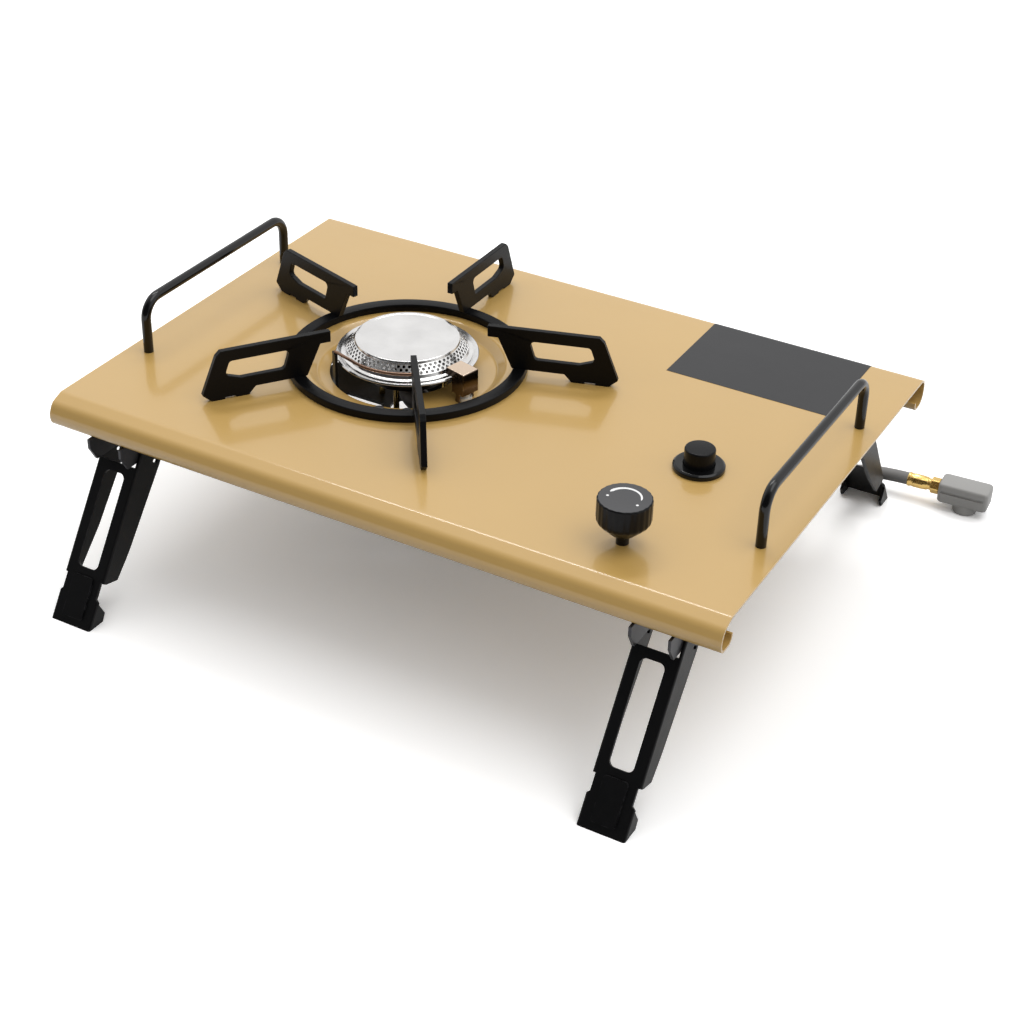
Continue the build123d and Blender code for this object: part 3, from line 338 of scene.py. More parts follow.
def piece(name, parts, look, replaced=(), body="stove", crease=40.0, sheet_up=False):
    """New piece from surfaces: joined, merged at seams and poles, turned outwards and smooth."""
    starts = np.cumsum([0] + [len(points) for points, _, _ in parts])
    faces = []
    for start, (_, quads, ends) in zip(starts, parts):
        faces += (quads + start).tolist() + [(end + start).tolist() for end in ends]
    mesh = bpy.data.meshes.new(name)
    mesh.from_pydata(np.concatenate([points for points, _, _ in parts]).tolist(), [], faces)
    work = bmesh.new()
    work.from_mesh(mesh)
    bmesh.ops.remove_doubles(work, verts=work.verts, dist=MERGE_DISTANCE)
    bmesh.ops.dissolve_degenerate(work, edges=work.edges, dist=MERGE_DISTANCE)
    bmesh.ops.recalc_face_normals(work, faces=work.faces)
    if sheet_up and sum(face.normal.z * face.calc_area() for face in work.faces) < 0:
        bmesh.ops.reverse_faces(work, faces=work.faces)
    work.to_mesh(mesh)
    work.free()
    mesh.shade_smooth()
    mesh.set_sharp_from_angle(angle=radians(crease))
    return finished(name, mesh, look, replaced, body)


def round_edges(made, width, angle=35.0, segments=2):
    """Round the sharp edges of a piece, and keep its flat faces flat in shading."""
    bevel = made.modifiers.new("round", "BEVEL")
    put(bevel, width=width, segments=segments, miter_outer="MITER_ARC")
    put(bevel, limit_method="ANGLE", angle_limit=radians(angle))
    put(made.modifiers.new("flat", "WEIGHTED_NORMAL"), keep_sharp=True, weight=100)


def second_finish(made, look, low=-2.0, high=2.0):
    """Give another finish to the faces whose normal's z lies between two values."""
    faces = made.data.polygons
    normals = np.empty(3 * len(faces))
    faces.foreach_get("normal", normals)
    rise = normals[2::3]
    made.data.materials.append(finish(look))
    faces.foreach_set("material_index", ((rise > low) & (rise < high)).astype(np.int32))


def thicken(made, thickness, edge):
    """Give a sheet its thickness below its outer face, and round its edges."""
    solid = made.modifiers.new("sheet", "SOLIDIFY")
    put(solid, thickness=thickness, offset=-1.0)
    put(solid, use_even_offset=True, use_quality_normals=True)
    round_edges(made, edge, angle=50.0)


def cord_curve(name, route, diameter, look, node):
    """One smooth round cord: an open NURBS curve whose control points are the route's points."""
    curve = bpy.data.curves.new(name, "CURVE")
    put(curve, dimensions="3D", resolution_u=16)
    put(curve, bevel_depth=diameter / 2, bevel_resolution=8, use_fill_caps=True)
    spline = curve.splines.new("NURBS")
    spline.points.add(len(route) - 1)
    spline.points.foreach_set("co", np.c_[route, np.ones(len(route))].ravel())
    put(spline, order_u=3, use_endpoint_u=True, use_smooth=True)
    return finished(name, curve, look, [node], "stove")


def dress(look, *nodes, edge=0.0, segments=2):
    """Put a finish on solids that keep their mesh, and round their edges if a width is given."""
    for solid in (NODES[node] for node in nodes):
        solid.data.materials.clear()
        solid.data.materials.append(finish(look))
        if edge:
            solid.modifiers.new("join", "WELD").merge_threshold = MERGE_DISTANCE
            round_edges(solid, edge, segments=segments)


# Nodes


def add(tree, kind, links=(), **settings):
    """New shader node with settings, socket values and links from other nodes' outputs."""
    node = put(tree.nodes.new("ShaderNode" + kind), **settings)
    for socket, source in links:
        if isinstance(source, NodeSocket):
            tree.links.new(source, node.inputs[socket])
        else:
            node.inputs[socket].default_value = source
    return node


def calc(tree, operation, first, second):
    """Result of an operation on two values."""
    links = [(0, first), (1, second)]
    return add(tree, "Math", links, operation=operation).outputs[0]


def vector_calc(tree, operation, *vectors):
    """Result of an operation on one or two vectors."""
    node = add(tree, "VectorMath", enumerate(vectors), operation=operation)
    return node.outputs["Value" if operation in ("DOT_PRODUCT", "LENGTH") else "Vector"]


def ramp(tree, source, low, high, dark=0.0, light=1.0):
    """Map a value from low..high to dark..light, clamped."""
    values = (source, low, high, dark, light)
    sockets = ("Value", "From Min", "From Max", "To Min", "To Max")
    return add(tree, "MapRange", zip(sockets, values)).outputs["Result"]


def mix(tree, factor, low, high):
    """Mix of two values."""
    return add(tree, "Mix", [(0, factor), (2, low), (3, high)]).outputs[0]


def blend(tree, mask, low, high):
    """Mix of two colours by a mask, where a colour is a node's output or three numbers."""
    low, high = (end if isinstance(end, NodeSocket) else (*end, 1.0) for end in (low, high))
    links = [(0, mask), (6, low), (7, high)]
    return add(tree, "Mix", links, data_type="RGBA").outputs[2]


def noise(tree, place, scale, detail, **sockets):
    """Value of a noise texture at a place."""
    links = [("Vector", place), ("Scale", scale), ("Detail", detail), *sockets.items()]
    return add(tree, "TexNoise", links).outputs["Fac"]


def object_place(tree):
    """Place on the piece, in its own coordinates."""
    return add(tree, "TexCoord").outputs["Object"]


# Effects that several finishes use


def effect(name, inputs, outputs):
    """New shader node group, with the sockets that it is given and those that it puts out."""
    group = bpy.data.node_groups.new(name, "ShaderNodeTree")
    sockets = group.interface
    for key, value in inputs.items():
        kind = "NodeSocketVector" if isinstance(value, tuple) else "NodeSocketFloat"
        sockets.new_socket(name=key, in_out="INPUT", socket_type=kind).default_value = value
    for key in outputs:
        sockets.new_socket(name=key, in_out="OUTPUT", socket_type="NodeSocketFloat")
    given = group.nodes.new("NodeGroupInput").outputs
    return group, given, group.nodes.new("NodeGroupOutput").inputs


def coat_grain():
    """Fine pebble of sprayed paint or powder coat, and slow changes of tone over the piece."""
    inputs = {"Scale": 900.0, "Tone scale": 12.0}
    group, given, result = effect("Coat grain", inputs, ("Height", "Tone"))
    place = object_place(group)
    slow = noise(group, place, given["Tone scale"], 4.0)
    group.links.new(noise(group, place, given["Scale"], 3.0), result["Height"])
    group.links.new(ramp(group, slow, 0.3, 0.7), result["Tone"])
    return group


def edge_rub():
    """Mask of edges, for wear and painted highlight: how far the rounded normal leaves the flat
    one, broken up by noise.
    """
    group, given, result = effect("Edge rub", {"Radius": 0.0006, "Break": 300.0}, ("Mask",))
    soft = add(group, "Bevel", [("Radius", given["Radius"])], samples=4)
    flat = add(group, "NewGeometry")
    agree = vector_calc(group, "DOT_PRODUCT", soft.outputs["Normal"], flat.outputs["Normal"])
    broken = noise(group, object_place(group), given["Break"], 5.0)
    edge, worn_and_highlit = ramp(group, agree, 0.97, 0.80), ramp(group, broken, 0.42, 0.62)
    group.links.new(calc(group, "MULTIPLY", edge, worn_and_highlit), result["Mask"])
    return group


def handling():
    """Faint smears and specks left by wiping and use, as a mask round one half."""
    group, given, result = effect("Handling", {"Scale": 30.0}, ("Mask",))
    place = object_place(group)
    smear = noise(group, place, given["Scale"], 6.0, Roughness=0.65, Distortion=0.8)
    group.links.new(ramp(group, smear, 0.3, 0.7), result["Mask"])
    return group


def turned_lines():
    """Fine rings left by spinning a sheet round an upright axis: noise of distance plus height."""
    inputs = {"Axis": (0.0, 0.0, 0.0), "Scale": 4000.0}
    group, given, result = effect("Turned lines", inputs, ("Height", "Tone"))
    place = object_place(group)
    centred = vector_calc(group, "SUBTRACT", place, given["Axis"])
    level = vector_calc(group, "MULTIPLY", centred, (1.0, 1.0, 0.0))
    height = add(group, "SeparateXYZ", [(0, centred)]).outputs["Z"]
    reach = calc(group, "ADD", vector_calc(group, "LENGTH", level), height)
    links = [("W", reach), ("Scale", given["Scale"]), ("Detail", 2.0)]
    lines = add(group, "TexNoise", links, noise_dimensions="1D")
    group.links.new(lines.outputs["Fac"], result["Height"])
    group.links.new(ramp(group, noise(group, place, 60.0, 3.0), 0.3, 0.7), result["Tone"])
    return group


# Finishes

EFFECTS = {}
FINISHES = {}
COAT_CHANGE = 0.08
METAL_CHANGE = 0.3
METAL_TONE = 0.08
METAL_DEPTH = 4e-6


def use(tree, name, **values):
    """Place an effect in a finish with its own values, and give what it puts out."""
    node = add(tree, "Group", node_tree=EFFECTS[name])
    for key, value in values.items():
        node.inputs[key.replace("_", " ").capitalize()].default_value = value
    return node.outputs


def shader(name, roughness, metallic=0.0, **sockets):
    """New finish with a principled shader and plain socket values."""
    material = FINISHES[name] = bpy.data.materials.new(name)
    material.use_nodes = True
    principled = material.node_tree.nodes["Principled BSDF"].inputs
    for key, value in dict(Roughness=roughness, Metallic=metallic, **sockets).items():
        principled[key.replace("_", " ")].default_value = value
    return material.node_tree, principled


def shade(base, factor):
    """A colour made lighter or darker."""
    return tuple(min(1.0, part * factor) for part in base)


def uneven(tree, base, tone, mask):
    """A colour that wanders by a share of itself to both sides."""
    return blend(tree, mask, shade(base, 1 - tone), shade(base, 1 + tone))


def lay(tree, principled, body, roughness, change, smears, height, depth):
    """Feed the shader a colour, a gloss that the smears make uneven, and a fine bump."""
    gloss = ramp(tree, smears, 0.0, 1.0, roughness * (1 - change), roughness * (1 + change))
    raised = add(tree, "Bump", [("Height", height), ("Distance", depth)])
    tree.links.new(body, principled["Base Color"])
    tree.links.new(gloss, principled["Roughness"])
    tree.links.new(raised.outputs["Normal"], principled["Normal"])


def coated(name, base, roughness, grain, depth, rub=1.0, worn_and_highlit=None, tone=0.06, **sockets):
    """Sprayed coat: pebble bump, slow tone changes, and paler edges, part wear and part painted
    highlight.
    """
    tree, principled = shader(name, roughness, **sockets)
    fine = use(tree, "grain", scale=grain)
    body = uneven(tree, base, tone, fine["Tone"])
    if rub:
        # Paler edges: part wear, part painted highlight on the rounded edges.
        faint = calc(tree, "MULTIPLY", use(tree, "rub")["Mask"], rub)
        body = blend(tree, faint, body, worn_and_highlit or shade(base, 1.9))
    smears = use(tree, "handling")["Mask"]
    lay(tree, principled, body, roughness, COAT_CHANGE, smears, fine["Height"], depth)


def bare_metal(name, base, roughness, axis=None, sides=None, worn_and_highlit=None):
    """Bare or plated metal: turned or wiped lines, uneven gloss, painted shade on sides and painted
    highlight on edges.
    """
    tree, principled = shader(name, roughness, metallic=1.0)
    if axis is None:
        fine = use(tree, "grain", scale=1500.0, tone_scale=40.0)
    else:
        fine = use(tree, "lines", axis=axis)
    body = uneven(tree, base, METAL_TONE, fine["Tone"])
    # Painted shade: faces that turn away from up take the darker sides colour.
    if sides is not None:
        facing = add(tree, "NewGeometry").outputs["Normal"]
        upward = add(tree, "SeparateXYZ", [(0, facing)]).outputs["Z"]
        body = blend(tree, ramp(tree, upward, 0.55, 0.95), sides, body)
    # Painted highlight: the edges take a lighter colour.
    if worn_and_highlit is not None:
        body = blend(tree, use(tree, "rub")["Mask"], body, worn_and_highlit)
    smears = use(tree, "handling", scale=40.0)["Mask"]
    lay(tree, principled, body, roughness, METAL_CHANGE, smears, fine["Height"], METAL_DEPTH)


def build_finishes():
    """All effects, and all finishes in the scene's colours."""
    EFFECTS.update(grain=coat_grain(), rub=edge_rub(), handling=handling(), lines=turned_lines())
    paint = bpy.context.scene.stove_colours
    tan = (paint.tan, 0.40, 700.0, 2e-5, 0.2, None, 0.02)
    lacquer = dict(Coat_Weight=0.85, Coat_Roughness=0.12, Coat_IOR=1.52)
    coated("tan_paint", *tan, Specular_IOR_Level=0.55, **lacquer)
    # Edge colours of the black coats: part wear, part painted highlight.
    worn_and_highlit, polished_and_highlit = (0.05, 0.05, 0.053), (0.03, 0.03, 0.032)
    for name, base, roughness, grain, depth, rub, worn_highlit_edge, specular in (
        ("black_coat", paint.black, 0.38, 1300.0, 5e-5, 0.7, worn_and_highlit, 0.22),
        ("support_coat", paint.black, 0.38, 1300.0, 5e-5, 0.5, worn_and_highlit, 0.14),
        ("gloss_coat", paint.black, 0.15, 1300.0, 1e-5, 0.4, polished_and_highlit, 0.4),
        ("dark_panel", paint.panel, 0.38, 1800.0, 2e-5, 0.0, None, 0.35),
        ("black_plastic", paint.plastic, 0.30, 1600.0, 3e-5, 0.5, None, 0.16),
        ("gloss_plastic", paint.plastic, 0.10, 600.0, 4e-6, 0.3, None, 0.3),
    ):
        coated(name, base, roughness, grain, depth, rub, worn_highlit_edge, Specular_IOR_Level=specular)
    coated("hinge_steel", paint.hinge, 0.36, 1500.0, 2e-5, metallic=0.6)
    coated("matt_lit_knob_face", paint.matt_lit_knob_face, 0.45, 1600.0, 2e-5, rub=0.2)
    coated("hose_rubber", paint.hose, 0.62, 1500.0, 5e-5, rub=0.2)
    coated("grey_casting", paint.casting, 0.48, 1100.0, 7e-5, rub=0.3)
    coated("ceramic", paint.ceramic, 0.18, 500.0, 1e-5, rub=0.0)
    coated("knob_mark", paint.mark, 0.4, 1500.0, 1e-5, rub=0.0)
    axis = (*BURNER, 0.0)
    bare_metal("burner_steel", paint.steel, 0.17, axis)
    # Dark steel for heat tint, and for painted shade under the bowl and cap.
    bare_metal("burnt_and_shaded_steel", paint.burnt_and_shaded, 0.42, axis)
    # Hood: painted shade on its sides and painted highlight on its edges, over its heat tint.
    bare_metal(
        "tinted_steel", paint.tinted, 0.16, sides=(0.15, 0.11, 0.085), worn_and_highlit=(0.80, 0.72, 0.62)
    )
    bare_metal("brown_wire", paint.wire_brown, 0.30)
    bare_metal("zinc_plate", paint.zinc, 0.34)
    bare_metal("brass", paint.brass, 0.24)


def finish(look):
    """A finish by its name; the first call builds them all."""
    if not FINISHES:
        build_finishes()
    return FINISHES[look]


# Operators


def roll_line(size, flat, bends, radii):
    """Line of a rolled edge, in y and drop: flat, its bends' places from the edge, and a lip."""
    edge = size.top_depth / 2 / MM
    lip = [(LIP_DEPTH, LIP_FOOT), (LIP_DEPTH, LIP_END)]
    line = [(flat / MM, 0.0)] + [(edge - inside, drop) for inside, drop in bends + lip]
    return rounded(line, radii, ROLL_STEPS, closed=False) * MM


def front_roll(size, flat):
    """The front edge has a fold, a sloping face and a round front."""
    bends = [(size.fold / MM, 0.0), (2.6, -2.9), (0.0, -8.5), (1.2, LIP_FOOT)]
    return roll_line(size, flat, bends, [1, 6.0, 6.0, 6.0, 4.0, 4.0, 1])


def back_roll(size, flat):
    """The back edge is flat up to a tight bend and an upright face."""
    return roll_line(size, flat, [(0.0, 0.0), (0.0, LIP_FOOT)], [1, 5.5, 6.5, 4.0, 1])


class STOVE_OT_sheet_top(Operator):
    """Sheet top with rolled front and back edges, a pressed well and weld studs"""

    bl_idname = "stove.sheet_top"
    bl_label = "Sheet Top"

    def well(self, border):
        """Rings of points from the well's hole out to the border, along the rays to its points.

        The hole's radius is less over the tongue at the right, by a smooth step 3 s^2 - 2 s^3 at
        each of its sides. The well's profile follows, and then shares of the way to the border.
        """
        profile = [(39.5, -4.5), (45.5, -4.5), (50.0, 0.0), (58.0, 0.0)]
        hole, tongue, first, last, over = 0.0395, 0.014, -49.0, 110.0, 4.0
        way = unit(border - BURNER)
        bearing = np.degrees(np.arctan2(way[:, 1], way[:, 0]))
        step = np.clip(np.minimum(bearing - first, last - bearing) / over, 0, 1)
        inner = hole - tongue * step**2 * (3 - 2 * step)
        radius, height = (rounded(profile, 2.4, 7, closed=False) * MM).T[:, :, None]
        radius = np.concatenate([inner[None], np.broadcast_to(radius, (len(radius), len(way)))])
        height = np.concatenate([height[:1], height])
        x, y = (BURNER + radius[..., None] * way).transpose(2, 0, 1)
        rings = spread(x, y, TOP_Z + height)
        share = np.array([0.4, 0.8, 0.97, 1.0])[:, None, None]
        outer = rings[-1] + share * (spread(*border.T, TOP_Z) - rings[-1])
        return np.concatenate([rings, outer])

    def execute(self, context):
        """The well's rings meet a roll at the front and back: a line carried along x."""
        size = context.scene.stove_sizes
        before_fold = 0.0015
        half_x = size.top_length / 2
        flat_y = size.top_depth / 2 - size.fold - before_fold
        x = np.linspace(-half_x, half_x, 161)
        y = np.linspace(-flat_y, flat_y, 49)
        sides = ((x, -flat_y), (half_x, y), (x[::-1], flat_y), (-half_x, y[::-1]))
        border = [spread(*side)[:-1] for side in sides]
        parts = [surface(self.well(np.concatenate(border)), wrap_columns=True)]
        for side, roll in ((-1, front_roll), (1, back_roll)):
            out, drop = roll(size, flat_y).T[:, :, None]
            parts.append(surface(spread(x, side * out, TOP_Z + drop)))
        top = piece("sheet_top", parts, "tan_paint", ["top_plate"], sheet_up=True)
        thicken(top, size.sheet, TOP_EDGE)

        stud = [(0.0, -10.0), (1.6, -10.0), (2.0, -9.6), (2.0, -1.2), (0.0, -1.2)]
        both = (-1, 1)
        places = [(sx * STUD_X, sy * y) for sx in both for sy in both for y in STUD_Y]
        places += [(KNOB_AXIS[0] + sx * VALVE_STUD, KNOB_AXIS[1]) for sx in both]
        studs = [lathe(stud, place, 16, closed=False) for place in places]
        piece("weld_studs", studs, "zinc_plate")
        return {"FINISHED"}


class STOVE_OT_dark_panel(Operator):
    """Bare dark panel on the rear right of the sheet top, down over the start of the roll"""

    bl_idname = "stove.dark_panel"
    bl_label = "Dark Panel"

    def execute(self, context):
        """The surface follows the line of the top's back edge into its bend, carried along x."""
        size = context.scene.stove_sizes
        left, front, lift, thickness, edge = 0.0645, 0.0614, 0.00012, 0.0001, 0.00003
        y, drop = back_roll(size, front)[: ROLL_STEPS // 2].T
        x = np.linspace(left, left + size.panel_length, 17)[:, None]
        parts = [surface(spread(x, y, TOP_Z + lift + drop))]
        panel = piece("dark_panel", parts, "dark_panel", sheet_up=True)
        thicken(panel, thickness, edge)
        return {"FINISHED"}


class STOVE_OT_handles(Operator):
    """Two handles of bent wire"""

    bl_idname = "stove.handles"
    bl_label = "Handles"

    def execute(self, context):
        """A circle carried along an upright path with two round bends."""
        radius, bend, top = context.scene.stove_sizes.wire / 2, 0.010, TOP_Z + HANDLE_RISE
        line = [(-HANDLE_Y, TOP_Z), (-HANDLE_Y, top), (HANDLE_Y, top), (HANDLE_Y, TOP_Z)]
        for side, node in ((-1, "left_handle"), (1, "right_handle")):
            corners = [(side * HANDLE_X, y, z) for y, z in line]
            path = rounded(corners, bend, 14, closed=False)
            parts = [tube(path, radius, 32, (1.0, 0.0, 0.0))]
            piece(node + "_wire", parts, "gloss_coat", [node])
        return {"FINISHED"}


class STOVE_OT_pan_support(Operator):
    """Lift-off pan support: ring and five arms"""

    bl_idname = "stove.pan_support"
    bl_label = "Pan Support"

    def execute(self, context):
        """The ring is a rounded bar turned round the burner; the arms keep their solids."""
        bar = [(54.6, 0), (61.2, 0), (61.2, 4.2), (54.6, 4.2)]
        parts = [lathe(bar, BURNER, 160, 0.6)]
        replaced = ["trivet_ring"]
        piece("support_ring", parts, "support_coat", replaced, "pan_support")
        arms = [f"trivet_arm_{number}" for number in range(1, 6)]
        dress("support_coat", *arms, edge=context.scene.stove_sizes.edge_round)
        return {"FINISHED"}


class STOVE_OT_burner(Operator):
    """Burner: spun bowl, perforated cap, hood over the electrode, guard wire and their carriers"""

    bl_idname = "stove.burner"
    bl_label = "Burner"

    def cap_parts(self, size):
        """Perforated cone, its skirt and its crown.

        The cone is a grid of cells in angle and slant. Each cell joins its square border to a ring
        round its port, the ring to the port's rim, the rim to the port's inner end, and that to
        the inner border. The skirt and both faces of the crown are turned profiles.
        """
        foot, shoulder = np.array([30.7, 9.0]), np.array([26.7, 13.1])
        wall, chamfer, rows, first, pitch = 0.35, 0.06, 3, 0.2, 0.3
        slope = shoulder - foot
        slant = np.linalg.norm(slope)
        outward = np.array([slope[1], -slope[0]]) / slant
        side = np.linspace(-0.5, 0.5, 5)[:-1]
        low, right = spread(side, -0.5), spread(0.5, side)
        square = np.concatenate([low, right, -low, -right])
        circle = unit(square)

        port = size.port_radius / MM
        cell = 2 * np.pi / size.port_count
        row = np.arange(rows)[:, None, None]
        column = np.arange(size.port_count)[None, :, None]
        share = first + pitch * row
        turn = column * cell + row * cell / 2
        around = foot[0] + slope[0] * share
        rims = []
        ports = [(port + chamfer, 0.0), (port, -chamfer), (port, -wall)]
        for reach, depth in [(None, 0.0), *ports, (None, -wall)]:
            if reach is None:
                angle = turn + square[:, 0] * cell
                way = share * slant + square[:, 1] * pitch * slant
            else:
                angle = turn + circle[:, 0] * reach / around
                way = share * slant + circle[:, 1] * reach
            flat = (foot + slope / slant * way[..., None] + outward * depth) * MM
            rims.append(turned(BURNER, flat[..., 0], angle, TOP_Z + flat[..., 1]))
        cells = np.stack(rims, -3).reshape(-1, len(rims), len(square), 3)
        quads = grid_faces(len(rims), len(square), wrap_columns=True)
        offsets = np.arange(len(cells))[:, None, None] * len(rims) * len(square)
        parts = [(cells.reshape(-1, 3), (quads + offsets).reshape(-1, 4), [])]

        low_end = foot + slope * (first - pitch / 2)
        high_end = foot + slope * (first + pitch * (rows - 0.5))
        inside = outward * wall
        skirt = [low_end, foot, (31.5, 7.3), (33.3, 7.1), (33.3, 6.6), (31.0, 6.6), (29.9, 8.6)]
        skirt.append(low_end - inside)
        crown = [high_end, shoulder, (26.35, 14.55), (24.6, 14.55), (24.2, 14.35), (0.0, 14.5)]
        under = [high_end - inside, shoulder - inside, (25.5, 13.8), (0.0, 13.7)]
        for line, radii, steps in (
            (skirt, [1, 0.3, 0.9, 0.2, 0.2, 0.4, 0.3, 1], 5),
            (crown, [1, 0.2, 0.5, 0.4, 0.4, 1], 5),
            (under, [1, 0.3, 0.3, 1], 3),
        ):
            parts.append(lathe(line, BURNER, 4 * size.port_count, radii, steps, closed=False))
        return parts

    def execute(self, context):
        """The bowl is a profile turned round the burner's axis."""
        bowl = [(6.55, -5.0), (22.0, -5.0), (29.6, 5.0), (33.4, 5.5), (35.9, 5.4), (36.3, 6.1)]
        bowl += [(35.7, 6.9), (33.6, 6.55), (29.2, 6.55), (21.4, -4.0), (6.55, -4.0)]
        radii = [0.2, 1.6, 1.4, 1.0, 0.3, 0.35, 0.4, 1.0, 1.6, 1.2, 0.2]
        cap = self.cap_parts(context.scene.stove_sizes)
        # Faces that face down take the dark steel: painted shade under the bowl and the cap.
        for name, parts, node, shaded_below in (
            ("burner_bowl", [lathe(bowl, BURNER, 144, radii, 6)], "burner_cup", -0.35),
            ("perforated_cap", cap, "burner_cap", -0.2),
        ):
            made = piece(name, parts, "burner_steel", [node])
            second_finish(made, "burnt_and_shaded_steel", high=shaded_below)
        dress("tinted_steel", "electrode_shield", edge=HOOD_EDGE, segments=3)
        dress("black_coat", "burner_bracket", edge=SMALL_EDGE)
        dress("brown_wire", "guard_wire")
        dress("ceramic", "spark_electrode")
        dress("zinc_plate", "electrode_pin", "burner_rivets")
        dress("brass", "burner_standoffs", "gas_jet")
        dress("burnt_and_shaded_steel", "mixing_tube")
        return {"FINISHED"}


class STOVE_OT_knob(Operator):
    """Fluted gas knob with a printed arc, on its stem"""

    bl_idname = "stove.knob"
    bl_label = "Knob"

    def mark_parts(self):
        """Printed arc and its two dots.

        The arc is a flat bar swept through an angle, whose width and radius shrink along it. Its
        ends are rounded off by the sine of the way along.
        """
        steps, rise = 60, 0.05
        turn = np.linspace(radians(172.0), radians(12.0), steps)
        taper = np.linspace(0, 1, steps)
        middle = (7.9 - 0.7 * taper) * MM
        ends = np.clip(np.sin(np.pi * np.clip(taper, 0.02, 0.98)) * 6, 0.25, 1)
        width = (0.8 - 0.42 * taper) * MM * ends
        loop = middle + width * np.array([-1, -1, 1, 1])[:, None]
        height = (KNOB_FACE + rise * np.array([-1, 1, 1, -1])[:, None]) * MM
        arc = turned(KNOB_AXIS, loop, turn, TOP_Z + height).transpose(1, 0, 2)
        parts = [surface(arc, wrap_columns=True, capped=True)]
        low, high, dot, away = KNOB_FACE - rise, KNOB_FACE + rise, 0.65, 0.0078
        profile = [(0, low), (dot, low), (dot, high), (0, high)]
        for bearing in (radians(197.0), radians(-21.0)):
            centre = turned(KNOB_AXIS, away, bearing, 0.0)
            parts.append(lathe(profile, centre, 20, closed=False))
        return parts

    def execute(self, context):
        """The grip's radius drops by flute depth * (1 + cos(flute count * angle)) / 2."""
        size = context.scene.stove_sizes
        corners = [(0, 5.4), (5.6, 5.4), (12.5, 12.2), (12.5, KNOB_FACE), (0, KNOB_FACE)]
        profile = rounded(corners, [1, 1.2, 3.5, 0.8, 1], 8, closed=False) * MM
        plain_to, full_over = 0.0090, 0.0030
        angle = full_turn(size.flute_count * 16)
        flute = size.flute_depth * (1 + np.cos(size.flute_count * angle)) / 2
        radius, height = profile.T[:, :, None]
        radius = radius - flute * np.clip((radius - plain_to) / full_over, 0, 1)
        parts = [surface(turned(KNOB_AXIS, radius, angle, TOP_Z + height), wrap_columns=True)]
        knob = piece("gas_knob", parts, "black_plastic", ["knob"], "knob")
        # Faces that face up take the lighter matt finish: real matt texture, with painted light.
        second_finish(knob, "matt_lit_knob_face", low=0.95)
        piece("knob_mark", self.mark_parts(), "knob_mark", body="knob")
        dress("gloss_plastic", "valve_stem")
        return {"FINISHED"}


class STOVE_OT_igniter(Operator):
    """Igniter: flanged bezel, push button, and the parts below the top"""

    bl_idname = "stove.igniter"
    bl_label = "Igniter"

    def spring(self):
        """Coil under the button, which flattens as the button goes down; it is built here at rest.

        Along the turn u and round the wire v: radius = coil + wire cos v, and
        height = rise * u + wire sin v.
        """
        coil, wire, turns, low, high = 5.05 * MM, 0.42 * MM, 4.5, -14.0 * MM, -7.0 * MM
        u = np.linspace(0, 1, 109)[:, None]
        v = full_turn(10)
        height = low + wire + (high - low - 2 * wire) * u + wire * np.sin(v)
        radius = coil + wire * np.cos(v)
        points = turned(IGNITER_AXIS, radius, 2 * np.pi * turns * u, TOP_Z + height)
        parts = [surface(points, wrap_columns=True, capped=True)]
        made = piece("spring_coil", parts, "zinc_plate", ["button_spring"])
        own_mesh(made)

    def execute(self, context):
        """Bezel and button are profiles turned round the igniter's axis."""
        self.spring()
        plastic = "black_plastic"
        bezel = [(7.48, -14.0), (10.0, -14.0), (10.0, 0.0), (12.5, 0.0), (12.5, 2.0)]
        bezel += [(11.4, 2.8), (7.48, 2.8)]
        parts = [lathe(bezel, IGNITER_AXIS, 96, [0.2, 0.4, 0.2, 0.3, 0.7, 0.7, 0.4])]
        piece("igniter_collar", parts, "gloss_plastic", ["igniter_bezel"])
        button = [(0, -7.0), (7.4, -7.0), (7.4, 11.0), (0, 11.0)]
        parts = [lathe(button, IGNITER_AXIS, 80, [1, 0.3, 0.9, 1], 6, closed=False)]
        piece("push_button", parts, plastic, ["igniter_button"], "button")
        dress(plastic, "igniter_nut", "piezo_body")
        lead = cord_curve("lead", LEAD_ROUTE, LEAD_DIAMETER, plastic, "ignition_lead")
        return {"FINISHED"}


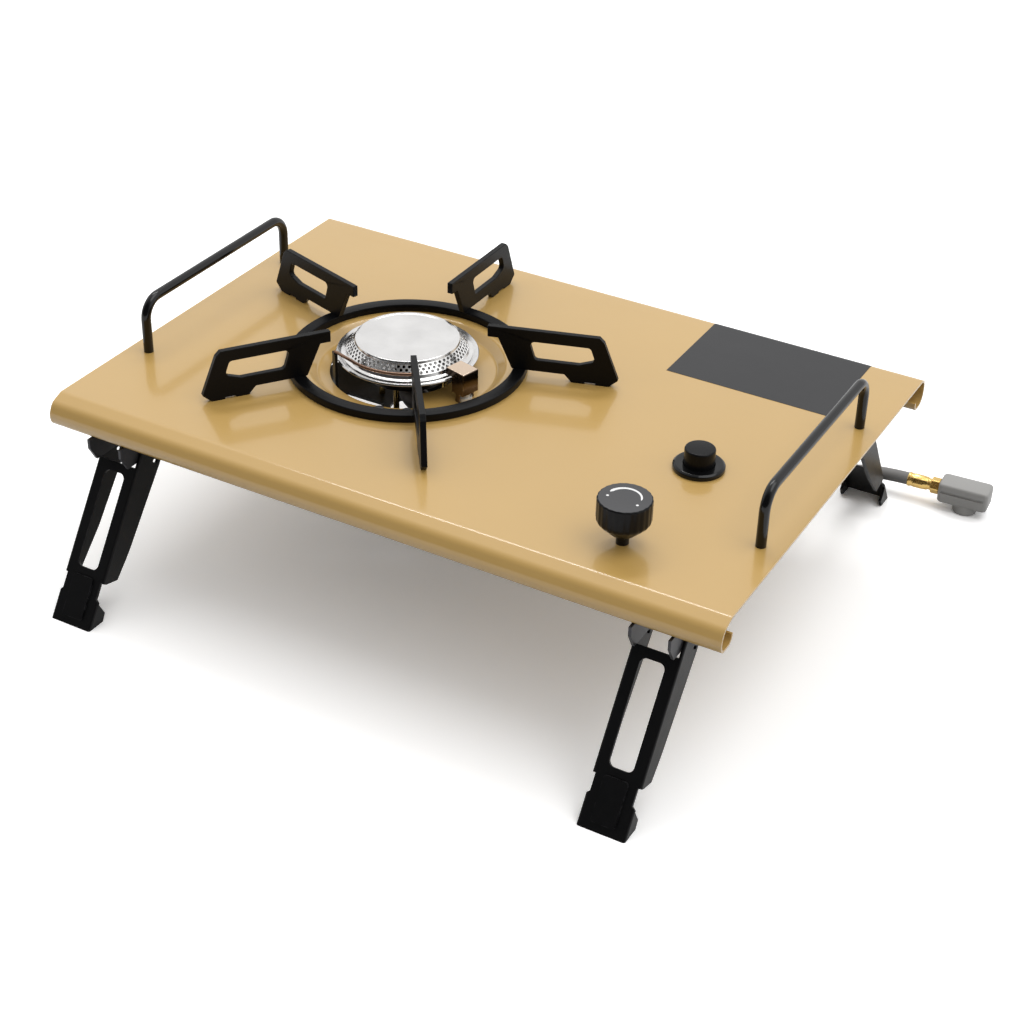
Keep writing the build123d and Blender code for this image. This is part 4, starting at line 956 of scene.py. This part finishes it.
class STOVE_OT_hose(Operator):
    """Gas hose with its brass ferrule and cast connector"""

    bl_idname = "stove.hose"
    bl_label = "Gas Hose"

    def ferrule(self, frame, origin):
        """Radius by length and angle: a crimped sleeve with eight flats, a groove, and a hexagon.

        A flat's distance is cos(half a pitch) / cos(angle from the flat's middle) of the corner's
        radius, and the round radius where that is less.
        """
        way, radius, flats = np.array([
            (0, 0, 0), (0, 3.6, 0), (0.4, 3.9, 0), (1.5, 3.9, 0), (1.9, 3.65, 0), (3.0, 3.65, 0),
            (3.4, 3.9, 8), (8.6, 3.9, 8), (9.0, 3.7, 0), (10.4, 3.7, 0), (11.0, 3.5, 0),
            (11.4, 3.2, 0), (12.6, 3.2, 0), (13.0, 3.5, 0), (13.0, 4.1, 6), (13.4, 4.5, 6),
            (17.6, 4.5, 6), (18.0, 4.1, 6), (18.0, 0, 0),
        ]).T[:, :, None]
        angle = full_turn(96)
        for sides, room in ((8, 1.03), (6, 1.04)):
            pitch = 2 * np.pi / sides
            flat = np.cos(pitch / 2) / np.cos((angle % pitch) - pitch / 2)
            radius = radius * np.where(flats == sides, np.minimum(1, flat * room), 1.0)
        local = spread(way, radius * np.cos(angle), radius * np.sin(angle)) * MM
        parts = [surface(local @ frame + origin, wrap_columns=True)]
        return piece("ferrule", parts, "brass", ["hose_ferrule"], crease=28.0)

    def connector(self, frame, origin):
        """Rounded rectangles stacked in height, and a turned nub below them.

        A rectangle is pulled in at the top and the bottom, and at the seam its long sides step in.
        """
        level, pull, seam = np.array([
            (-5.8, 1.2, 0), (-5.65, 0.7, 0), (-5.2, 0.3, 0), (-4.6, 0.08, 0), (-4.0, 0, 0),
            (0.2, 0, 0), (0.22, 0, 0.8), (1.78, 0, 0.8), (1.8, 0, 0), (4.2, 0, 0),
            (4.8, 0.12, 0), (5.35, 0.45, 0), (5.7, 0.95, 0), (5.8, 1.5, 0),
        ]).T[:, :, None]
        span, seam_end = np.array([13.75, 7.0]), 23.5
        centre = np.array([span[0], 0.0])
        outline = rounded(centre + span * [(-1, -1), (1, -1), (1, 1), (-1, 1)], 2.2, 8)
        side = np.linspace(2.6, seam_end, 24)
        low, high = spread(side, -span[1]), spread(side[::-1], span[1])
        outline = np.concatenate([outline[:8], low, outline[8:24], high, outline[24:]])
        x, y = (centre + (outline - centre) * (1 - pull[..., None] / span)).transpose(2, 0, 1)
        long_side = (np.abs(outline[:, 1]) > span[1] - 0.1) & (outline[:, 0] < seam_end + 0.1)
        y = y - seam * long_side * np.sign(outline[:, 1])
        local = spread(x, y, level) * MM
        block = surface(local @ frame + origin, wrap_columns=True, capped=True)
        nub = [(4.5, -3.0), (4.5, -10.8), (6.6, -10.8), (6.6, -4.9), (5.6, -4.9), (5.6, -3.0)]
        radii = [0.1, 0.4, 0.8, 0.2, 0.2, 0.1]
        place = origin + 0.01475 * frame[0]
        parts = [block, lathe(nub, place[:2], 64, radii, base=origin[2])]
        look = "grey_casting"
        return piece("connector", parts, look, ["gas_connector"], crease=30.0)

    def execute(self, context):
        """The hose is one smooth curve, and its fittings stand in line with its level end.

        The frame's rows are the level heading of the hose's end, its left, and up.
        """
        diameter = context.scene.stove_sizes.hose_diameter
        look = "hose_rubber"
        hose = cord_curve("hose", HOSE_ROUTE, diameter, look, "gas_hose")
        before, end = np.array(HOSE_ROUTE[-2:])
        x, y = unit((end - before)[:2])
        frame = np.array([(x, y, 0.0), (-y, x, 0.0), (0.0, 0.0, 1.0)])
        ferrule = self.ferrule(frame, end)
        connector = self.connector(frame, end + FERRULE_LENGTH * frame[0])
        dress("zinc_plate", "hose_clip")
        return {"FINISHED"}


class STOVE_OT_legs(Operator):
    """Four folding legs with their hinges, pins and nuts"""

    bl_idname = "stove.legs"
    bl_label = "Legs and Hinges"

    def execute(self, context):
        """The pressed legs keep their solids, with rounded edges."""
        edge = context.scene.stove_sizes.edge_round
        for corner in ("front_left", "front_right", "rear_left", "rear_right"):
            dress("black_coat", f"{corner}_leg", edge=edge)
            dress("hinge_steel", f"{corner}_hinge", edge=edge / 2)
        dress("zinc_plate", "hinge_pins", "hinge_nuts", edge=SMALL_EDGE)
        return {"FINISHED"}


class STOVE_OT_fittings(Operator):
    """Valve, pipe, nuts and screws below the top"""

    bl_idname = "stove.fittings"
    bl_label = "Fittings"

    def execute(self, context):
        """These solids keep their shape, with rounded edges."""
        dress("brass", "valve_body", edge=SMALL_EDGE)
        dress("zinc_plate", "valve_nuts", "gas_pipe", "handle_screws", edge=SMALL_EDGE)
        return {"FINISHED"}


class STOVE_OT_stage(Operator):
    """White floor, soft light and the camera"""

    bl_idname = "stove.stage"
    bl_label = "Stage"

    def floor(self, stage):
        """A flat square, white to the camera and in gloss, that throws back less light."""
        corners = [(-1, -1, 0), (1, -1, 0), (1, 1, 0), (-1, 1, 0)]
        mesh = bpy.data.meshes.new("floor")
        mesh.from_pydata((FLOOR_REACH * np.array(corners)).tolist(), [], [(0, 1, 2, 3)])
        material = bpy.data.materials.new("floor_white")
        material.use_nodes = True
        tree = material.node_tree
        path = add(tree, "LightPath").outputs
        shown = calc(tree, "MAXIMUM", path["Is Glossy Ray"], path["Is Transmission Ray"])
        tone = mix(tree, shown, stage.floor_bounce, stage.floor_gloss)
        white = mix(tree, path["Is Camera Ray"], tone, stage.floor_white)
        matt = add(tree, "BsdfDiffuse", [("Color", white)])
        tree.links.new(matt.outputs["BSDF"], tree.nodes["Material Output"].inputs["Surface"])
        mesh.materials.append(material)
        new_object("floor", mesh)

    def room(self, scene, stage):
        """World light that falls off to the camera's side, darker there in gloss, white if seen."""
        world = scene.world = bpy.data.worlds.new("studio")
        world.use_nodes = True
        tree = world.node_tree
        background = tree.nodes["Background"].inputs
        background["Color"].default_value = (1.0, 1.0, 1.0, 1.0)
        path = add(tree, "LightPath").outputs
        way = add(tree, "TexCoord").outputs["Generated"]
        ahead = (sin(stage.dark_turn), -cos(stage.dark_turn), 0.0)
        facing = vector_calc(tree, "DOT_PRODUCT", way, ahead)
        gloss = ramp(tree, facing, 0.0, 0.6, 1.0, stage.dark_side)
        wash = ramp(tree, facing, -0.5, 0.7, stage.ambient, stage.ambient_front)
        lit = mix(tree, path["Is Glossy Ray"], wash, gloss)
        clear = calc(tree, "MAXIMUM", path["Is Camera Ray"], path["Is Transmission Ray"])
        tree.links.new(mix(tree, clear, lit, 1.0), background["Strength"])

    def lamp(self, name, power, size, place):
        """A rectangular lamp that faces the stove."""
        light = bpy.data.lights.new(name, "AREA")
        put(light, shape="RECTANGLE", size=size[0], size_y=size[1], energy=power)
        made = new_object(name, light)
        made.location = place
        made.rotation_euler = (LAMP_AIM - Vector(place)).to_track_quat("-Z", "Y").to_euler()

    def camera(self, scene, stage):
        """The camera rolls about its view, tips up by the rest of a right angle, then turns."""
        camera = bpy.data.cameras.new("camera")
        put(camera, lens=stage.lens, sensor_width=SENSOR_WIDTH, clip_start=0.01)
        scene.camera = new_object("camera", camera)
        turn = Matrix.Rotation(stage.azimuth, 4, "Z")
        tip = Matrix.Rotation(radians(90.0) - stage.elevation, 4, "X")
        roll = Matrix.Rotation(stage.roll, 4, "Z")
        scene.camera.matrix_world = Matrix.Translation(stage.eye) @ turn @ tip @ roll

    def execute(self, context):
        """Floor and room are white to the camera, which has the photograph's eye and lens."""
        scene = context.scene
        stage = scene.stove_stage
        scene.view_settings.view_transform = "Standard"
        self.floor(stage)
        self.room(scene, stage)
        self.lamp("key", stage.key_power, *KEY_LAMP)
        self.lamp("strip", stage.strip_power, *STRIP_LAMP)
        self.camera(scene, stage)
        return {"FINISHED"}


class STOVE_PT_builder(Panel):
    """Buttons for the stove's pieces and its stage"""

    bl_label = "Camp Stove"
    bl_idname = "STOVE_PT_builder"
    bl_space_type = "VIEW_3D"
    bl_region_type = "UI"
    bl_category = "Camp Stove"

    def draw(self, context):
        """One button for each operator, then the settings."""
        for operator in OPERATORS:
            self.layout.operator(operator.bl_idname)
        for group in SETTINGS:
            settings = getattr(context.scene, group)
            box = self.layout.box()
            for key in settings.bl_rna.properties.keys():
                if key not in ("rna_type", "name"):
                    box.prop(settings, key)


OPERATORS = (
    STOVE_OT_stage,
    STOVE_OT_hose,
    STOVE_OT_sheet_top,
    STOVE_OT_dark_panel,
    STOVE_OT_handles,
    STOVE_OT_pan_support,
    STOVE_OT_burner,
    STOVE_OT_knob,
    STOVE_OT_igniter,
    STOVE_OT_legs,
    STOVE_OT_fittings,
)
SETTINGS = {"stove_sizes": StoveSizes, "stove_colours": StoveColours, "stove_stage": StoveStage}
CLASSES = (*SETTINGS.values(), *OPERATORS, STOVE_PT_builder)


def register():
    """Register the classes and hang the settings on the scene."""
    for kind in CLASSES:
        bpy.utils.register_class(kind)
    for group, kind in SETTINGS.items():
        setattr(bpy.types.Scene, group, PointerProperty(type=kind))


def unregister():
    """Take the settings and the classes away."""
    for group in SETTINGS:
        delattr(bpy.types.Scene, group)
    for kind in reversed(CLASSES):
        bpy.utils.unregister_class(kind)


def main():
    """Build the stage and every piece in order."""
    register()
    for operator in OPERATORS:
        group, call = operator.bl_idname.split(".")
        getattr(getattr(bpy.ops, group), call)()


if __name__ == "__main__":
    main()
